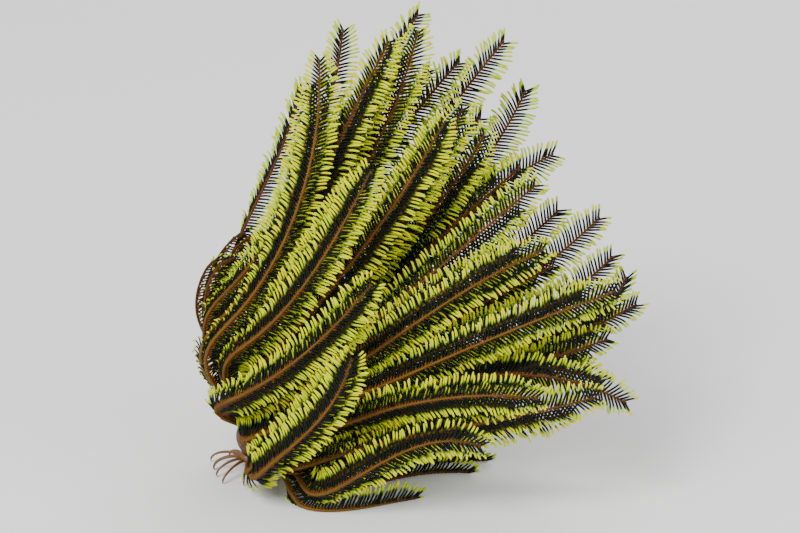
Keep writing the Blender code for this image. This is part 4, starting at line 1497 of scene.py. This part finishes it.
@dataclass
class Hooks:
    """The knob under the cup and its jointed hooks, which reach the feet of the solid ones."""

    crown: np.ndarray
    knob_radius: float = 4.2
    knob_depth: float = 3.4
    root_depth: float = 0.62
    beyond_knob: float = 6.5
    joint_length: float = 1.25
    rings_per_joint: int = 4
    root_radius: float = 0.78
    tip_radius: float = 0.42
    sides: int = 10
    arch: float = 3.2
    hook_out: float = 2.2
    leaves_knob_at: float = 1.6
    first_pull: float = 0.5
    foot_height: float = 0.3
    feet_below: float = 2.0
    foot_spread: float = 0.12
    curve_points: int = 60
    line_points: int = 120
    waist: float = 0.16
    waist_growth: int = 6
    claw_from: float = 0.9
    claw_end: float = 0.25
    map_turn: float = 0.03
    knob_rings: int = 14
    knob_places: tuple[float, ...] = (0.0, 0.1, 0.45, 0.8, 0.95, 1.0)
    knob_widths: tuple[float, ...] = (0.86, 0.93, 1.0, 0.88, 0.62, 0.3)
    knob_mark: float = 0.3

    def feet(self, knob: np.ndarray) -> list[np.ndarray]:
        """The far end of each solid hook, found in the solid knob's own corners.

        Args:
            knob: The knob's middle in millimetres.

        Returns:
            One point on the floor for each hook.
        """
        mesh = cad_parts["centrodorsal"].data
        corners = np.array([tuple(corner.co) for corner in mesh.vertices]) / METRES
        level = corners[:, :2] - knob[:2]
        reach = np.linalg.norm(level, axis=1)
        far = corners[(reach > self.beyond_knob) & (corners[:, 2] < self.feet_below)]
        angle = np.arctan2(far[:, 1] - knob[1], far[:, 0] - knob[0])
        order = np.argsort(angle)
        breaks = np.nonzero(np.diff(angle[order]) > self.foot_spread)[0] + 1
        reach = np.linalg.norm(far[:, :2] - knob[:2], axis=1)
        return [far[group[np.argmax(reach[group])]] for group in np.split(order, breaks)]

    def build(self, sweep: Sweep, finish: bpy.types.Material) -> None:
        """Makes the pieces in place of the solid knob and hooks.

        Args:
            sweep: The tree that gives paths thickness.
            finish: The material.
        """
        knob = self.crown - MOUTH_WAY * (CALYX_FOOT + GAP + self.root_depth * self.knob_depth)
        parts = [self.knob_path()]
        for foot in self.feet(knob):
            level = unit([*(foot - knob)[:2], 0.0])
            out = unit(level - MOUTH_WAY * (level @ MOUTH_WAY))
            reach = float(np.linalg.norm((foot - knob)[:2]))
            end = np.array([foot[0], foot[1], self.foot_height])
            start = knob + out * self.leaves_knob_at
            handles = (knob + out * (self.leaves_knob_at + reach * self.first_pull),
                       end + level * self.hook_out + np.array([0, 0, self.arch]))
            line = bezier((start, end), handles, np.linspace(0, 1, self.curve_points))
            parts.append(self.hook_path(evened(line, self.line_points)))
        hooks = sweep.mesh("hooks", Strands.joined(parts), self.sides, finish, self.map_turn)
        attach(hooks, "root")
        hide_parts("centrodorsal")
        log.info("hooks: %d faces", len(hooks.data.polygons))

    def knob_path(self) -> Strands:
        """The knob as a short thick path down the crown's axis.

        Returns:
            The path.
        """
        down = np.linspace(0, 1, self.knob_rings)
        width = self.knob_radius * np.interp(down, self.knob_places, self.knob_widths)
        spots = self.crown - MOUTH_WAY * (CALYX_FOOT + GAP) - down[:, None] * MOUTH_WAY * self.knob_depth
        return self.marked(spots, width, np.zeros(self.knob_rings), down * self.knob_mark)

    def hook_path(self, line: np.ndarray) -> Strands:
        """One jointed hook.

        Args:
            line: Its points, at even steps.

        Returns:
            The path, waisted at the joints and with a claw at its end.
        """
        length = arc_length(line)[-1]
        joints = max(4, round(length / self.joint_length))
        share = np.linspace(0, 1, joints * self.rings_per_joint + 1)
        places = np.linspace(0, 1, len(line))
        spots = np.stack([np.interp(share, places, line[:, axis]) for axis in range(3)], 1)
        waist = np.cos(2 * math.pi * share * joints) * 0.5 + 0.5
        radius = self.root_radius + (self.tip_radius - self.root_radius) * share
        claw = np.interp(share, (0, self.claw_from, 1.0), (1.0, 1.0, self.claw_end))
        radius = radius * (1 - self.waist * waist) * claw
        spots[:, 2] = np.maximum(spots[:, 2], radius)
        return self.marked(spots, radius, waist**self.waist_growth, share)

    @staticmethod
    def marked(spots: np.ndarray, width: np.ndarray, joint: np.ndarray, along: np.ndarray) -> Strands:
        """A path with the marks that every swept piece carries.

        Args:
            spots: Its points.
            width: Its radius at each point.
            joint: How near each point is to a joint, from 0 to 1.
            along: How far along the hook each point is, from 0 to 1.

        Returns:
            The path.
        """
        count = len(spots)
        angle = math.atan2(spots[-1][1] - spots[0][1], spots[-1][0] - spots[0][0])
        return Strands(spots, width, np.array([count]), {
            "along": along, "joint": joint, "tint": np.full(count, 0.5), "green": np.zeros(count),
            "chart_u": 0.02 + 0.96 * along, "chart_v": np.full(count, 0.02 + 0.92 * (angle / 6.3 + 0.5))})


class Lamp(Enum):
    """The studio's soft lights: place in metres about the star, size and power."""

    KEY = ((-0.75, -1.15, 1.35), 0.8, 44.0)
    FILL = ((1.3, -0.9, 0.7), 1.4, 13.0)
    BACK = ((0.5, 1.3, 1.2), 1.2, 16.0)


@dataclass
class Studio:
    """A pale floor, soft lights and the camera at the photograph's angle."""

    crown: np.ndarray
    distance: float = 2.5
    view_width: float = 0.320
    sensor: float = 36.0
    middle: Place = (56.8, 67.8, 0.0)
    floor_half: float = 6.0
    floor_colour: Colour = (0.88, 0.88, 0.86)
    floor_roughness: float = 0.7
    world_colour: Colour = (0.93, 0.96, 1.0)
    world_strength: float = 0.6
    far_clip: float = 50.0

    def build(self) -> None:
        """Makes floor, lights, world and camera."""
        target = Vector(tuple((self.crown + upright(self.middle)) * METRES))
        self.add_floor()
        for lamp in Lamp:
            place, size, power = lamp.value
            light = bpy.data.lights.new("lamp_" + lamp.name.lower(), "AREA")
            light.size = size
            light.energy = power
            self.aim(bpy.data.objects.new(light.name, light), target + Vector(place), target)
        world = bpy.data.worlds.new("studio")
        world.use_nodes = True
        sky = world.node_tree.nodes["Background"]
        sky.inputs["Color"].default_value = (*self.world_colour, 1.0)
        sky.inputs["Strength"].default_value = self.world_strength
        bpy.context.scene.world = world
        camera = bpy.data.cameras.new("camera")
        camera.sensor_width = self.sensor
        camera.lens = self.sensor * self.distance / self.view_width
        camera.clip_end = self.far_clip
        away = Vector((0.0, math.cos(VIEW_DOWN), -math.sin(VIEW_DOWN)))
        eye = self.aim(bpy.data.objects.new("camera", camera), target - away * self.distance, target)
        bpy.context.scene.camera = eye

    @staticmethod
    def aim(made: bpy.types.Object, place: Vector, target: Vector) -> bpy.types.Object:
        """Places a light or the camera and turns it to a target.

        Args:
            made: The light's or camera's object.
            place: Where it goes.
            target: What it looks at.

        Returns:
            The same object, in the scene.
        """
        made.location = place
        made.rotation_euler = (target - place).to_track_quat("-Z", "Y").to_euler()
        bpy.context.scene.collection.objects.link(made)
        return made

    def add_floor(self) -> None:
        """A plain pale floor just under the star."""
        mesh = bpy.data.meshes.new("floor")
        half = self.floor_half
        corners = [(-half, -half, 0), (half, -half, 0), (half, half, 0), (-half, half, 0)]
        mesh.from_pydata(corners, [], [(0, 1, 2, 3)])
        mesh.materials.append(Shading("floor_paint").dress(self.floor_colour, self.floor_roughness))
        floor = bpy.data.objects.new("floor", mesh)
        bpy.context.scene.collection.objects.link(floor)


def crown_middle() -> np.ndarray:
    """Finds the crown from the box of the solid disc on it.

    Returns:
        The crown's middle in the frame, in millimetres.
    """
    low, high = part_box("disc")
    rim_height = CALYX_TOP + GAP + DISC_RIM_HEIGHT
    right = low.x / METRES - (rim_height * math.sin(CROWN_LEAN) - DISC_RADIUS * math.cos(CROWN_LEAN))
    return np.array([right, 0.5 * (low.y + high.y) / METRES, CROWN_HEIGHT])


def main() -> None:
    """Builds the star's pieces and the studio."""
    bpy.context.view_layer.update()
    draw = np.random.default_rng(SEED)
    crown = crown_middle()
    ways = Sockets().ways()
    planner = Planner()
    lines = planner.settled([planner.planned(pose, way) for pose, way in zip(ARM_POSES, ways)])
    courses = [Course(line, way, pose, crown) for line, way, pose in zip(lines, ways, ARM_POSES)]
    forks = Forks()
    branches = [[Course(forks.line(number, line), way, pose, crown)] if forks.branches(pose) else []
                for number, (line, way, pose) in enumerate(zip(lines, ways, ARM_POSES))]
    log.info("crown at %s, %d arms, %d with a second branch", np.round(crown, 2), len(courses),
             sum(map(len, branches)))

    sweep = Sweep()
    bone, skin = StemFinish().made(), PinnuleFinish().made()
    for number, start in enumerate(range(0, len(courses), ARMS_IN_A_GROUP)):
        group = range(start, min(start + ARMS_IN_A_GROUP, len(courses)))
        ArmGroup(number + 1, [f"arm_{index + 1:02d}" for index in group],
                 [course for index in group for course in (courses[index], *branches[index])],
                 draw).build(sweep, bone, skin)
    Cup(crown, courses).build(CrownFinish().made())
    MouthDisc(crown).build(DiscFinish().made())
    Hooks(crown).build(sweep, HookFinish().made())
    Studio(crown).build()


if __name__ == "__main__":
    main()
